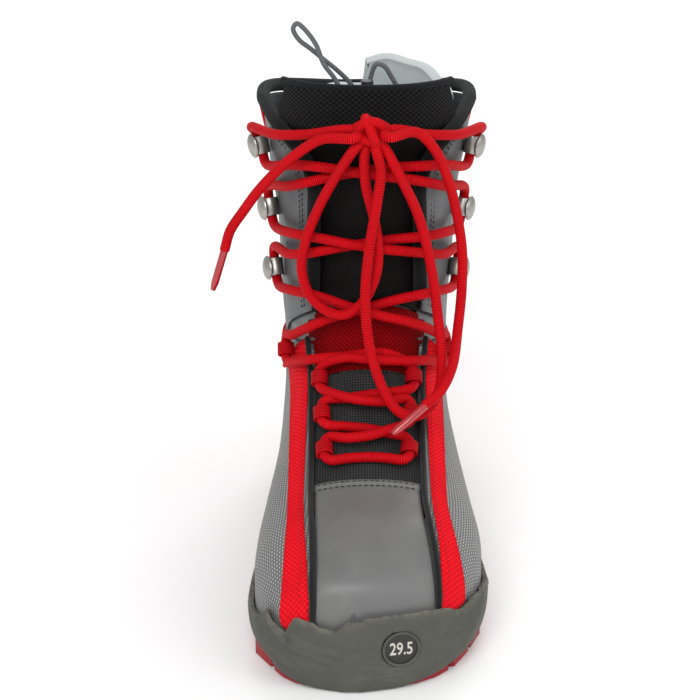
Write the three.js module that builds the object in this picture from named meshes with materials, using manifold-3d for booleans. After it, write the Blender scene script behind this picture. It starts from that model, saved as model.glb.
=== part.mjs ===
// A lace-up snowboard boot for the left foot, in millimetres. +Z is up, the toe points along -Y and
// the outer (lateral) side is +X. The origin lies on the ground, under the waist of the sole.
//
// Every soft panel is a slab on one shape, the last, which is a row of stations from the toe over
// the instep to the collar. skin(s, phi, d) is the point of the last at station s, at the angle phi
// round the section (0 at the front or top, 180 at the back or bottom) and d mm outside the last.
import * as THREE from "three";
import { mergeVertices } from "three/addons/utils/BufferGeometryUtils.js";
import Module from "manifold-3d";

const wasm = await Module();
wasm.setup();

// ---------------------------------------------------------------- driving dimensions
const UPPER_LENGTH = 314; // toe tip to heel, without the rand
const TOE_Y = -156;
const BALL_WIDTH = 119;
const WAIST_WIDTH = 101;
const HEEL_WIDTH = 93;
const CUFF_WIDTH = 122; // across the collar
const CUFF_HEIGHT = 280; // the last's top station above the ground
const CUFF_DEPTH = 150; // front to back at the collar
const CUFF_FRONT_Y = -24;
const INSTEP_HEIGHT = 114;
const TOE_HEIGHT = 44;
const BASE = 4; // the underside of the last

const PANEL = 2; // leather and mesh panels
const OVERLAY = 1.6; // bands and straps sewn on the panels
const GAP = 0.4; // between layers that lie on each other
const EAR_DROP = 24; // the flaps end this far below the tongue
const TONGUE = 3; // the padded tongue
const LINER = 5.5; // foam wall of the inner boot
const LINER_INSET = 8; // the liner's outside, measured in from the last
const COUNTER = 3.2; // heel counter and back stiffener
const COUNTER_GAP = 1.6;

const RAND_WALL = 3.6;
const TREAD_TOP = 12;
const GROOVE_DEPTH = 5;
const GROOVE_WIDTH = 4;
const LUG_PITCH = 21;
const MIDSOLE_TOP = 26;
const BOARD = 2.4; // insole board
const SHANK = [24, 110, 3]; // across, along, thick
const FOOTBED = 4;

const THROAT_HALF = 28; // half the gap between the eyestays over the foot
const THROAT_HALF_SHAFT = 31;
const TOE_CAP_HALF = 31; // half the toe cap at the toe
const TOE_SHIFT = 4; // the toe cap's middle lies this far to the outer side
const PIPING_R = 1.6;
const BAND_WIDTH = 10;
const BAND_WIDTH_TOE = 13;
const COLLAR_R = 3.2;

const LACE_D = 5.5;
const CORD_D = 2.6; // the liner's draw cord
const AGLET_D = 5;
const AGLET_LENGTH = 24;
const HOOK_HEIGHT = 10;
const HOOK_METAL = 1.2;
const HOOK_BORE_R = 3.4;
const LOOP_WIDTH = 7; // webbing loops over the foot
const LOOP_WALL = 1.2;
const TAB_WIDTH = 18;
const BADGE_R = 8.6;
const BADGE_THICK = 1.2;

const FLEX_FORWARD = 12; // degrees the cuff leans forward
const FLEX_BACK = 4;
const FLEX_Y = 56; // the ankle's axis
const FLEX_Z = 118;

// ---------------------------------------------------------------- the last
const rad = THREE.MathUtils.degToRad;
const lerp = THREE.MathUtils.lerp;
const HEEL_Y = TOE_Y + UPPER_LENGTH;
const CUFF_BACK_Y = CUFF_FRONT_Y + CUFF_DEPTH;
const foot = (share) => TOE_Y + share * UPPER_LENGTH;
const rise = (share) => lerp(156, CUFF_HEIGHT, share);

// front y, front z, back y, back z, half width, centre x, roundness of the front and of the back
// half of the section, and the share of an offset that goes forwards at the toe
const STATIONS = [
  [foot(0), TOE_HEIGHT - 2, foot(0), BASE, 1.5, -7, 2.2, 5, 1],
  [foot(0.016), TOE_HEIGHT + 12, foot(0.019), BASE, 31, -6, 2.2, 5, 0.85],
  [foot(0.064), TOE_HEIGHT + 22, foot(0.064), BASE, 47, -3, 2.2, 5, 0.5],
  [foot(0.134), TOE_HEIGHT + 31, foot(0.134), BASE, 0.96 * BALL_WIDTH / 2, -1, 2.3, 5, 0.2],
  [foot(0.216), TOE_HEIGHT + 38, foot(0.223), BASE, BALL_WIDTH / 2, 1, 2.3, 5, 0],
  [foot(0.293), 94, foot(0.38), BASE, lerp(WAIST_WIDTH, BALL_WIDTH, 0.6) / 2, 1, 2.3, 5, 0],
  [foot(0.357), INSTEP_HEIGHT, foot(0.62), BASE, WAIST_WIDTH / 2, 1, 2.3, 5, 0],
  [foot(0.404), 134, foot(0.9), BASE, 47.5, 0, 2.3, 4.6, 0],
  [-20, rise(0), HEEL_Y, 28, HEEL_WIDTH / 2, 0, 2.3, 3.2, 0],
  [-17, rise(0.2), HEEL_Y - 3, 88, 48, 0, 2.4, 2.5, 0],
  [-16, rise(0.4), lerp(HEEL_Y, CUFF_BACK_Y, 0.38), 140, 49.5, 0, 2.4, 2.4, 0],
  [-17, rise(0.6), lerp(HEEL_Y, CUFF_BACK_Y, 0.62), lerp(140, CUFF_HEIGHT, 0.35), 52.5, 0, 2.4, 2.4, 0],
  [-20, rise(0.8), lerp(HEEL_Y, CUFF_BACK_Y, 0.83), lerp(140, CUFF_HEIGHT, 0.67), 57, 0, 2.4, 2.4, 0],
  [CUFF_FRONT_Y, CUFF_HEIGHT, CUFF_BACK_Y, CUFF_HEIGHT, CUFF_WIDTH / 2, 0, 2.4, 2.4, 0],
];
const TOP_STATION = STATIONS.length - 1;

// A smooth curve through the stations, column by column.
function stationAt(s) {
  const i = Math.min(Math.max(Math.floor(s), 0), TOP_STATION - 1);
  const t = s - i;
  const row = (k) => STATIONS[Math.min(Math.max(k, 0), TOP_STATION)];
  return STATIONS[i].map((_, c) => {
    const [p0, p1, p2, p3] = [row(i - 1)[c], row(i)[c], row(i + 1)[c], row(i + 2)[c]];
    return p1 + 0.5 * t * (p2 - p0 + t * (2 * p0 - 5 * p1 + 4 * p2 - p3 + t * (3 * (p1 - p2) + p3 - p0)));
  });
}

function skin(s, phi, d = 0) {
  const [fy, fz, by, bz, halfWidth, cx, roundFront, roundBack, forward] = stationAt(s);
  const c = Math.cos(rad(phi));
  const n = c > 0 ? roundFront : roundBack;
  const r = (Math.abs(c) ** n + Math.abs(Math.sin(rad(phi))) ** n) ** (-1 / n);
  const half = Math.hypot(fy - by, fz - bz) / 2;
  const a = (r * c * (half + d)) / half;
  const x = cx + r * Math.sin(rad(phi)) * Math.max(halfWidth + d, 1.5);
  const y = (fy + by) / 2 + (a * (fy - by)) / 2 - forward * d;
  return new THREE.Vector3(x, y, (fz + bz) / 2 + (a * (fz - bz)) / 2);
}

// The value between lo and hi where f goes through zero.
function solve(f, lo, hi) {
  const rising = f(hi) > f(lo);
  for (let i = 0; i < 26; i++) {
    const mid = (lo + hi) / 2;
    if (f(mid) > 0 === rising) hi = mid;
    else lo = mid;
  }
  return (lo + hi) / 2;
}

// The angle on one side (+1 lateral, -1 medial) where the section reaches x from the centre line,
// and where it comes down to the height z.
const middle = (s) => TOE_SHIFT * (1 - THREE.MathUtils.smoothstep(s, 1.5, 4.2));
const angleAtX = (s, x, side) => side * solve((phi) => side * (skin(s, side * phi).x - middle(s)) - x, 0, 90);
const angleAtZ = (s, z, side) =>
  stationAt(s)[3] >= z ? side * 180 : side * solve((phi) => skin(s, side * phi).z - z, 0, 180);

const heelStation = (z) => solve((s) => stationAt(s)[3] - z, 7, 8.6); // the last's back at height z

// The frame on the last at (s, phi): its point, the outward normal, the way round the section away
// from the front, and the way up the boot.
function frameAt(s, phi, d = 0) {
  const side = Math.sign(phi) || 1;
  const point = skin(s, phi, d);
  const away = skin(s, phi + 0.5 * side, d).sub(skin(s, phi - 0.5 * side, d)).normalize();
  const up = skin(s + 0.02, phi, d).sub(skin(s - 0.02, phi, d)).normalize();
  const normal = new THREE.Vector3().crossVectors(up, away).multiplyScalar(-side).normalize();
  up.crossVectors(normal, away).multiplyScalar(side).normalize();
  return { point, normal, away, up };
}
const offsetFrom = (frame, normal, away, up) =>
  frame.point.clone().addScaledVector(frame.normal, normal).addScaledVector(frame.away, away).addScaledVector(frame.up, up);

// ---------------------------------------------------------------- solids
const materials = Object.fromEntries(
  Object.entries({
    mesh_fabric: [0x8a8f93, 0.9, 0],
    grey_leather: [0x6a7073, 0.55, 0],
    red_fabric: [0xc4102a, 0.85, 0],
    black_fabric: [0x151617, 0.85, 0],
    rubber: [0x6b6c66, 0.7, 0],
    red_rubber: [0xa62a30, 0.7, 0],
    foam: [0x3a3b3d, 0.9, 0],
    board: [0x9a8f7a, 0.8, 0],
    plastic: [0x222325, 0.5, 0],
    steel: [0xb6b4ae, 0.3, 1],
    liner: [0xaab4b5, 0.9, 0],
    lace: [0xd00f22, 0.8, 0],
    cord: [0x6f7478, 0.8, 0],
    badge: [0x33342f, 0.5, 0],
    plastic_red: [0xb01a26, 0.3, 0],
  }).map(([name, [color, roughness, metalness]]) => [
    name,
    new THREE.MeshStandardMaterial({ name, color, roughness, metalness }),
  ]),
);
const boot = new THREE.Group();

function add(name, geometry, material) {
  const mesh = new THREE.Mesh(geometry, materials[material]);
  mesh.name = name;
  boot.add(mesh);
  return mesh;
}

// A closed geometry from points and triangles, turned to face out.
function closed(points, triangles) {
  const volume = triangles.reduce((sum, [a, b, c]) => sum + points[a].dot(points[b].clone().cross(points[c])), 0);
  const index = triangles.flatMap(([a, b, c]) => (volume < 0 ? [a, c, b] : [a, b, c]));
  const geometry = new THREE.BufferGeometry().setFromPoints(points);
  geometry.setIndex(index);
  return geometry;
}

// A slab over part of the last: at(u, v) gives [s, phi], and its faces lie at the offsets lo and hi.
function slab(at, across, along, lo, hi, ring = false) {
  const points = [];
  const triangles = [];
  const row = ring ? across : across + 1;
  const layer = row * (along + 1);
  for (const d of [lo, hi])
    for (let j = 0; j <= along; j++)
      for (let i = 0; i < row; i++) {
        const [s, phi] = at(i / across, j / along);
        points.push(skin(s, phi, d));
      }
  const quad = (a, b, c, d) => triangles.push([a, b, c], [a, c, d]);
  for (let j = 0; j < along; j++)
    for (let i = 0; i < across; i++) {
      const k = j * row + i;
      const right = j * row + ((i + 1) % row);
      quad(k, k + row, right + row, right);
      quad(layer + k, layer + right, layer + right + row, layer + k + row);
    }
  const span = (count, at) => Array.from({ length: count }, (_, i) => at(i));
  const low = span(across, (i) => i);
  const high = span(across, (i) => along * row + ((across - i) % row));
  const rims = ring
    ? [low, high]
    : [[...low, ...span(along, (j) => j * row + across), ...high, ...span(along, (j) => (along - j) * row)]];
  for (const rim of rims)
    rim.forEach((k, i) => {
      const next = rim[(i + 1) % rim.length];
      quad(k, next, layer + next, layer + k);
    });
  return closed(points, triangles);
}

// The last's own solid, filled, at the offset d from station s0 to s1.
function filled(s0, s1, d, round, along) {
  const points = [];
  const triangles = [];
  for (let j = 0; j <= along; j++)
    for (let i = 0; i < round; i++) points.push(skin(lerp(s0, s1, (j / along) ** 1.15), (360 * i) / round, d));
  for (let j = 0; j < along; j++)
    for (let i = 0; i < round; i++) {
      const [a, b] = [j * round + i, j * round + ((i + 1) % round)];
      triangles.push([a, b, b + round], [a, b + round, a + round]);
    }
  for (const [start, flip] of [[0, true], [along * round, false]]) {
    const centre = points.length;
    points.push(points[start].clone().add(points[start + round / 2]).multiplyScalar(0.5));
    for (let i = 0; i < round; i++) {
      const [a, b] = [start + i, start + ((i + 1) % round)];
      triangles.push(flip ? [centre, b, a] : [centre, a, b]);
    }
  }
  return closed(points, triangles);
}

// Rings fall on the route's own points, so that a tight bend keeps its shape.
class Route extends THREE.CatmullRomCurve3 {
  getPointAt(u, target) {
    return this.getPoint(u, target);
  }
  getTangentAt(u, target) {
    return this.getTangent(u, target);
  }
}

function polygon(radius, sides) {
  const turn = (i) => (2 * Math.PI * (i + 0.5)) / sides;
  return new THREE.Shape(
    Array.from({ length: sides }, (_, i) => new THREE.Vector2(radius * Math.cos(turn(i)), radius * Math.sin(turn(i)))),
  );
}

function cord(points, diameter, perPoint = 1, sides = 8) {
  return new THREE.ExtrudeGeometry(polygon(diameter / 2, sides), {
    steps: (points.length - 1) * perPoint,
    extrudePath: new Route(points, false, "centripetal"),
  });
}

function toSolid(geometry) {
  const bare = geometry.index ? geometry.toNonIndexed() : geometry.clone();
  for (const name of ["normal", "uv"]) bare.deleteAttribute(name);
  const merged = mergeVertices(bare, 1e-4);
  return new wasm.Manifold(
    new wasm.Mesh({
      numProp: 3,
      vertProperties: merged.attributes.position.array,
      triVerts: new Uint32Array(merged.index.array),
    }),
  );
}

function toGeometry(solid) {
  const mesh = solid.getMesh();
  const geometry = new THREE.BufferGeometry();
  geometry.setAttribute("position", new THREE.BufferAttribute(mesh.vertProperties, 3));
  geometry.setIndex(new THREE.BufferAttribute(mesh.triVerts, 1));
  return geometry;
}

function box(x0, x1, y0, y1, z0, z1) {
  return new THREE.BoxGeometry(x1 - x0, y1 - y0, z1 - z0).translate((x0 + x1) / 2, (y0 + y1) / 2, (z0 + z1) / 2);
}

// A plate between two heights with the given outline.
function plate(outline, z0, z1) {
  return new THREE.ExtrudeGeometry(new THREE.Shape(outline), { depth: z1 - z0, bevelEnabled: false }).translate(0, 0, z0);
}

// A prism across the whole boot with an outline in the side view, given as [y, z] points.
function sidePrism(outline, across = 2 * CUFF_WIDTH) {
  const shape = new THREE.Shape(outline.map(([y, z]) => new THREE.Vector2(y, z)));
  return new THREE.ExtrudeGeometry(shape, { depth: across, bevelEnabled: false })
    .applyMatrix4(new THREE.Matrix4().makeBasis(
      new THREE.Vector3(0, 1, 0), new THREE.Vector3(0, 0, 1), new THREE.Vector3(1, 0, 0)))
    .translate(-across / 2, 0, 0);
}

// Steps that are short at the toe and at the heel, where the outline turns.
const spread = (t) => (t < 0.5 ? 2 * t ** 2 : 1 - 4 * (1 - t) ** 3);

// The last's outline at a height, from the toe round to the heel and back. grow(s, side) is the
// offset there.
function outlineAt(z, grow, count = 15) {
  const heel = heelStation(z);
  const half = (side) =>
    Array.from({ length: count }, (_, i) => {
      const s = heel * spread((i + 0.5) / count);
      const p = skin(s, angleAtZ(s, z, side), grow(s, side));
      return new THREE.Vector2(p.x, p.y);
    });
  const end = skin(heel, 180, grow(heel, 1));
  const tip = skin(0, 90, grow(0, 1));
  return [new THREE.Vector2(stationAt(0)[5], tip.y), ...half(1), new THREE.Vector2(0, end.y), ...half(-1).reverse()];
}

// ---------------------------------------------------------------- edges of the panels
const SIDES = [["medial", -1], ["lateral", 1]];
const THROAT_STATION = 4.25; // the toe cap's back edge
const SHAFT_STATION = 8.4; // from here up the eyestay belongs to the cuff
const TUCK_Z = 31; // the panels run down to here, behind the rand

const throatHalf = (s) =>
  s < THROAT_STATION
    ? lerp(TOE_CAP_HALF, THROAT_HALF, THREE.MathUtils.smoothstep(s, 1, THROAT_STATION))
    : lerp(THROAT_HALF, THROAT_HALF_SHAFT, THREE.MathUtils.smoothstep(s, 6.5, SHAFT_STATION));
const bandHalf = (s) => throatHalf(s) + 2 * PIPING_R + lerp(BAND_WIDTH_TOE, BAND_WIDTH, THREE.MathUtils.smoothstep(s, 1.5, 4));
const tuckAngle = (s, side) => angleAtZ(s, TUCK_Z, side);
function throatAngle(s, side) {
  return angleAtX(s, throatHalf(s), side);
}
const capAngle = (s, side) => side * Math.min(Math.abs(throatAngle(s, side)), Math.abs(tuckAngle(s, side)));

// Where the foot's parts end and where the cuff's begin, as heights over y. The wedge between them
// closes as the cuff leans.
const FLEX_CLEAR = 1.5;
const footSlope = (y) => (y < FLEX_Y ? Math.tan(rad(15)) : Math.tan(rad(6)));
const cuffSlope = (y) =>
  y < FLEX_Y ? Math.tan(rad(15 + FLEX_FORWARD + 1.5)) : -Math.tan(rad(FLEX_BACK + 1 - 6));
const footTop = (y) => FLEX_Z - FLEX_CLEAR + Math.abs(FLEX_Y - y) * footSlope(y) * (y < FLEX_Y ? 1 : -1);
const cuffBottom = (y) => FLEX_Z + FLEX_CLEAR + Math.abs(FLEX_Y - y) * cuffSlope(y) * (y < FLEX_Y ? 1 : -1);

// The collar: the front edge of each flap as an angle over the height, and its top edge as a height
// over the angle.
const EAR = [
  [0, 0], [0.66, 0], [0.76, 2.5], [0.85, 8], [0.92, 16], [0.97, 27], [1, 40],
];
const between = (table, x) => {
  const i = table.findIndex(([at]) => at > x);
  if (i < 0) return table[table.length - 1][1];
  if (i === 0) return table[0][1];
  const [[x0, y0], [x1, y1]] = [table[i - 1], table[i]];
  return lerp(y0, y1, THREE.MathUtils.smoothstep(x, x0, x1) * 0.4 + ((x - x0) / (x1 - x0)) * 0.6);
};
const cuffShare = (z) => (z - 150) / (CUFF_HEIGHT - EAR_DROP - 150);
const flapAngle = (s, side) => {
  const z = skin(s, side * 45).z;
  return throatAngle(s, side) + side * between(EAR, cuffShare(z));
};
const collarZ = (phi) => CUFF_HEIGHT - EAR_DROP - 14 * THREE.MathUtils.smoothstep(Math.abs(phi), 85, 170);

// The station where the line at share u of the way from one edge angle to another passes a height.
function stationWhere(height, u, front, back, side, lo, hi) {
  return solve((s) => {
    const p = skin(s, lerp(front(s, side), back(s, side), u));
    return p.z - height(p.y, lerp(front(s, side), back(s, side), u));
  }, lo, hi);
}

// ---------------------------------------------------------------- sole
function buildSole() {
  const treadOut = (s, side) =>
    lerp(-0.8, RAND_WALL - 0.4, THREE.MathUtils.smoothstep(s, side < 0 ? 2.1 : 3.1, side < 0 ? 2.9 : 3.9));
  let tread = toSolid(plate(outlineAt(14, treadOut, 17), 0, TREAD_TOP));
  const clearance = toSolid(plate(outlineAt(14, (s, side) => treadOut(s, side) + GAP, 17), -1, TREAD_TOP + GAP));
  const half = BALL_WIDTH;
  const toeEnd = foot(0);
  const heelEnd = HEEL_Y;
  for (let y = toeEnd + LUG_PITCH; y < foot(0.42); y += LUG_PITCH)
    tread = tread.subtract(toSolid(box(-half, half, y, y + GROOVE_WIDTH, -1, GROOVE_DEPTH)));
  for (let y = heelEnd - LUG_PITCH; y > foot(0.68); y -= LUG_PITCH)
    tread = tread.subtract(toSolid(box(-half, half, y - GROOVE_WIDTH, y, -1, GROOVE_DEPTH)));
  for (const [y0, y1] of [[toeEnd + LUG_PITCH, foot(0.42)], [foot(0.68), heelEnd - LUG_PITCH]])
    tread = tread.subtract(toSolid(box(-GROOVE_WIDTH / 2, GROOVE_WIDTH / 2, y0, y1, -1, GROOVE_DEPTH)));
  add("outsole", toGeometry(tread), "red_rubber");

  const inset = (mm) => () => -mm;
  const shankY = foot(0.52);
  const pocket = box(-SHANK[0] / 2 - GAP, SHANK[0] / 2 + GAP, shankY - SHANK[1] / 2 - GAP, shankY + SHANK[1] / 2 + GAP,
    MIDSOLE_TOP - SHANK[2] - GAP, MIDSOLE_TOP + 1);
  const midsole = toSolid(plate(outlineAt(13, inset(GAP + 2.6)), TREAD_TOP + GAP, MIDSOLE_TOP)).subtract(toSolid(pocket));
  add("midsole", toGeometry(midsole), "foam");
  add("shank", box(-SHANK[0] / 2, SHANK[0] / 2, shankY - SHANK[1] / 2, shankY + SHANK[1] / 2,
    MIDSOLE_TOP - SHANK[2], MIDSOLE_TOP - 0.1), "steel");
  add("insole_board", plate(outlineAt(26, inset(PANEL + 1.2)), MIDSOLE_TOP + GAP, MIDSOLE_TOP + GAP + BOARD), "board");
  return clearance;
}

// The rand runs round the whole boot. Its top edge waves over the toe.
const RAND_TOP = [
  // perimeter share from the heel along the medial side, over the toe at 0, to the lateral heel
  [-8, 44], [-6, 42], [-3.4, 44], [-2.2, 41], [-1.55, 34], [-1.1, 40], [-0.7, 37], [-0.35, 34],
  [0.1, 37], [0.8, 39], [1.5, 40], [1.9, 38], [2.4, 43], [3.4, 46], [6, 42], [8, 44],
];
const randBottom = (s, side) =>
  lerp(BASE + 1.5, TREAD_TOP + GAP, THREE.MathUtils.smoothstep(s, side < 0 ? 1.3 : 2.3, side < 0 ? 2.1 : 3.1));

function buildRand(tread) {
  const at = (u, v) => {
    const t = 2 * u - 1;
    const side = t < 0 ? -1 : 1;
    const share = spread(Math.abs(t));
    const z = lerp(randBottom(8 * share, side), between(RAND_TOP, side * 8 * share), v);
    const s = Math.max(heelStation(z) * share, 0.02);
    return [s, share === 1 ? 180 : angleAtZ(s, z, side)];
  };
  let rand = toSolid(slab(at, 46, 3, GAP + 0.7, GAP + RAND_WALL, true)).subtract(tread);
  const s = 0.62;
  const seat = frameAt(s, angleAtZ(s, 24, 1), GAP + RAND_WALL);
  const disc = (radius, thick, back) => {
    const g = new THREE.CylinderGeometry(radius, radius, thick, 24);
    const facing = new THREE.Quaternion().setFromUnitVectors(new THREE.Vector3(0, 1, 0), seat.normal);
    return g.applyQuaternion(facing).translate(...offsetFrom(seat, thick / 2 - back, 0, 0).toArray());
  };
  const recess = 2.2;
  rand = rand.subtract(toSolid(disc(BADGE_R + GAP, 12, recess)));
  add("rand", toGeometry(rand), "rubber");
  add("size_badge", disc(BADGE_R, BADGE_THICK, recess - GAP), "badge");
}

// ---------------------------------------------------------------- the foot's panels
const QUARTER_TURN = 0.5; // the share of a side panel's rows that start on the eyestay's seam
const UNDER_SEAM_END = 6; // the station of the tucked edge below the seam's end
const PIPING_SHORT = 0.07; // the piping stops this far, in stations, below the band's end
const footBack = (s, side) => (stationAt(s)[3] >= TUCK_Z ? side * 179.5 : tuckAngle(s, side));
const footEdge = (u, front, side, inset = 0) =>
  stationWhere((y) => footTop(y) - inset, u, front, footBack, side, 6.5, 10.5);

function buildVamp() {
  const cap = (u, v) => {
    const s = lerp(0.02, THROAT_STATION, v ** 1.25);
    return [s, lerp(capAngle(s, -1), capAngle(s, 1), u)];
  };
  add("toe_cap", slab(cap, 8, 9, -PANEL, 0), "grey_leather");

  for (const [name, side] of SIDES) {
    const seam = (s) => throatAngle(s, side) + side * 2;
    // Its rows run down from the seam and the ankle edge to the tucked edge. The first starts where
    // the toe cap leaves room for it, and the last is the heel's seam.
    const start = Math.max(1.25, solve((s) => side * (tuckAngle(s, side) - seam(s)) - 6, 1, 2.5));
    const heel = heelStation(TUCK_Z);
    const seamEnd = footEdge(0, seam, side);
    const quarter = (u, v) => {
      const rear = Math.max(v - QUARTER_TURN, 0) / (1 - QUARTER_TURN);
      const front = Math.min(v / QUARTER_TURN, 1);
      const top = rear > 0 ? footEdge(rear, seam, side) : lerp(start, seamEnd, front);
      const low = rear > 0 ? heel - (heel - UNDER_SEAM_END) * (1 - rear) ** 2 : lerp(start, UNDER_SEAM_END, front);
      return [lerp(top, low, u), lerp(lerp(seam(top), side * 179.5, rear), footBack(low, side), u)];
    };
    add(`quarter_${name}`, slab(quarter, 12, 24, -PANEL, 0), "mesh_fabric");

    const inner = (s) => throatAngle(s, side) + side * 5;
    const aboveRand = (s) => angleAtZ(s, between(RAND_TOP, side * s) + 1.2, side);
    const outer = (s) => side * Math.min(Math.abs(angleAtX(s, bandHalf(s), side)), Math.abs(aboveRand(s)));
    const bandTop = stationWhere((y) => footTop(y) - 4, 0.5, inner, outer, side, 6.5, 9);
    const band = (u, v) => {
      const s = lerp(1.85, bandTop, v);
      return [s, lerp(inner(s), outer(s), u)];
    };
    add(`eyestay_band_${name}`, slab(band, 2, 16, GAP + 0.3, GAP + OVERLAY), "red_fabric");

    const piping = Array.from({ length: 18 }, (_, i) => {
      const s = lerp(1.7, bandTop - PIPING_SHORT, i / 17);
      return offsetFrom(frameAt(s, throatAngle(s, side) + side * 1.2), PIPING_R + GAP, 0, 0);
    });
    add(`piping_${name}`, cord(piping, 2 * PIPING_R), "black_fabric");

    // The strap runs from the band's top round the back of the ankle.
    const strap = (u, v) => {
      const front = (s) => outer(s) + side * 1.5;
      const top = footEdge(u, front, side, 3);
      const s = lerp(lerp(top - 0.62, heelStation(54), u), top, v);
      return [s, lerp(front(s), side * 179.3, u)];
    };
    add(`ankle_strap_${name}`, slab(strap, 10, 4, GAP + 0.5, GAP + OVERLAY), "red_fabric");
  }

  // The heel counter cups the heel inside the panels.
  const counter = (u, v) => {
    const reach = lerp(66, 52, v);
    return [lerp(heelStation(33), 8.85, v), lerp(180 - reach, 180 + reach, u)];
  };
  add("heel_counter", slab(counter, 12, 5, -PANEL - COUNTER_GAP - COUNTER, -PANEL - COUNTER_GAP), "plastic");
}

// ---------------------------------------------------------------- tongue
const TONGUE_OUT = -PANEL - 1;
const TONGUE_IN = TONGUE_OUT - TONGUE;
function tongueAngle(s, side, extra) {
  return throatAngle(s, side) + side * extra;
}

function buildTongue() {
  const front = () => 0;
  const footEnd = stationWhere((y) => footTop(y) - 12, 0, front, footBack, 1, 6, 9);
  const cuffStart = stationWhere((y) => cuffBottom(y) + 2, 0, front, footBack, 1, 7, 11);
  const strip = (s0, s1, e0, e1) => (u, v) => {
    const s = lerp(s0, s1, v);
    const extra = lerp(e0, e1, v ** 2);
    return [s, lerp(tongueAngle(s, -1, extra), tongueAngle(s, 1, extra), u)];
  };
  const joint = 0.03;
  add("tongue_vamp", slab(strip(3.6, footEnd, 9, 9), 6, 5, TONGUE_IN, TONGUE_OUT), "black_fabric");
  add("tongue_flex", slab(strip(footEnd + joint, cuffStart - joint, 7, 7), 6, 3, TONGUE_IN, TONGUE_OUT), "red_fabric");
  add("tongue_shin", slab(strip(cuffStart, 12.9, 9, 10), 8, 9, TONGUE_IN, TONGUE_OUT), "black_fabric");
  const rim = Array.from({ length: 13 }, (_, i) => {
    const phi = lerp(tongueAngle(12.9, -1, 16), tongueAngle(12.9, 1, 16), i / 12);
    const p = skin(12.9, phi, (TONGUE_IN + TONGUE_OUT) / 2);
    return p.add(new THREE.Vector3(0, 0, TONGUE / 2 + GAP));
  });
  add("tongue_binding", cord(rim, TONGUE), "black_fabric");
}

// ---------------------------------------------------------------- cuff
const CUFF_REAR = (s, side) => side * 179.5;
const WRAP = (s, side) => side * 180;

function buildCuff() {
  for (const [name, side] of SIDES) {
    const edge = (s) => flapAngle(s, side);
    const bottom = (u) => stationWhere((y) => cuffBottom(y), u, edge, CUFF_REAR, side, 7.5, 11.5);
    const top = (u) => stationWhere((y, phi) => collarZ(phi), u, edge, CUFF_REAR, side, 10, 12.995);
    const flap = (u, v) => {
      const s = lerp(bottom(u), top(u), v);
      return [s, lerp(edge(s), CUFF_REAR(s, side), u)];
    };
    const [across, along] = [12, 11];
    add(`cuff_panel_${name}`, slab(flap, across, along, -PANEL, 0), "grey_leather");

    // The padded collar follows the flap's front edge and then its top edge.
    const clear = COLLAR_R + 1.2;
    const over = TONGUE_OUT + GAP + 0.4 + COLLAR_R;
    const front = Array.from({ length: along - 1 }, (_, i) => {
      const s = lerp(bottom(0), top(0), (i + 1) / along);
      const f = frameAt(s, edge(s), 0);
      const ahead = skin(s + 0.1, edge(s + 0.1)).sub(skin(s - 0.1, edge(s - 0.1))).normalize();
      const out = new THREE.Vector3().crossVectors(ahead, f.normal).multiplyScalar(side).normalize();
      return f.point.clone().addScaledVector(out, -clear).addScaledVector(f.normal, lerp(over, -1, (i / along) ** 4));
    });
    const crown = Array.from({ length: across }, (_, i) => {
      const u = lerp((i + 0.5) / across, 0.985, i === across - 1 ? 1 : 0);
      const s = top(u);
      return skin(s, lerp(edge(s), CUFF_REAR(s, side), u), -PANEL / 2).add(new THREE.Vector3(0, 0, clear));
    });
    add(`collar_${name}`, cord([...front, ...crown], 2 * COLLAR_R), "black_fabric");
  }

  // The red back panel is widest at the collar.
  const back = (u, v) => {
    const reach = lerp(48, 88, v ** 1.4);
    const phi = lerp(180 - reach, 180 + reach, u);
    const s = solve((t) => skin(t, phi).z - lerp(150, collarZ(phi > 180 ? 360 - phi : phi) - 2, v), 8, 12.99);
    return [s, phi];
  };
  add("back_panel", slab(back, 14, 6, GAP + 0.6, GAP + OVERLAY + 0.2), "red_fabric");

  // The stiffener stands inside the back of the cuff.
  const spine = (u, v) => {
    const phi = lerp(158, 202, u);
    return [solve((t) => skin(t, phi).z - lerp(136, 226, v), 8, 12.9), phi];
  };
  add("back_stiffener", slab(spine, 4, 5, -LINER_INSET + 0.5, -PANEL - 0.8), "plastic");

  // The soft gusset closes the ankle between the foot and the cuff.
  const wedge = (u, v) => {
    const side = u < 0.5 ? -1 : 1;
    const share = 1 - Math.abs(2 * u - 1);
    const clear = GAP + 0.5;
    const seam = (t) => throatAngle(t, side) + side * 2;
    const flap = (t) => flapAngle(t, side);
    const low = stationWhere((y) => footTop(y) + clear, share, seam, WRAP, side, 6.5, 11.5);
    const high = stationWhere((y) => cuffBottom(y) - clear, share, flap, WRAP, side, 6.5, 11.5);
    const phi = lerp(lerp(seam(low), side * 180, share), lerp(flap(high), side * 180, share), v);
    return [lerp(low, high, v), phi < 0 ? phi + 360 : phi];
  };
  add("ankle_gusset", slab((u, v) => wedge(1 - u, v), 24, 2, -PANEL, 0), "grey_leather");

  const tab = [[0.7, 206], [3.2, 206], [9, 214], [9, 232], [3.4, 239], [0.7, 239], [0.7, 236.5], [3, 236.5], [6.6, 231],
    [6.6, 215], [0.7, 208.5]];
  const rear = (z) => solve((t) => skin(t, 180, GAP + OVERLAY + 0.2).z - z, 9, 12.9);
  add("pull_tab", sidePrism(tab.map(([out, z]) => [skin(rear(z), 180, GAP + OVERLAY + 0.2).y + out, z]), TAB_WIDTH),
    "black_fabric");
}

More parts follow.
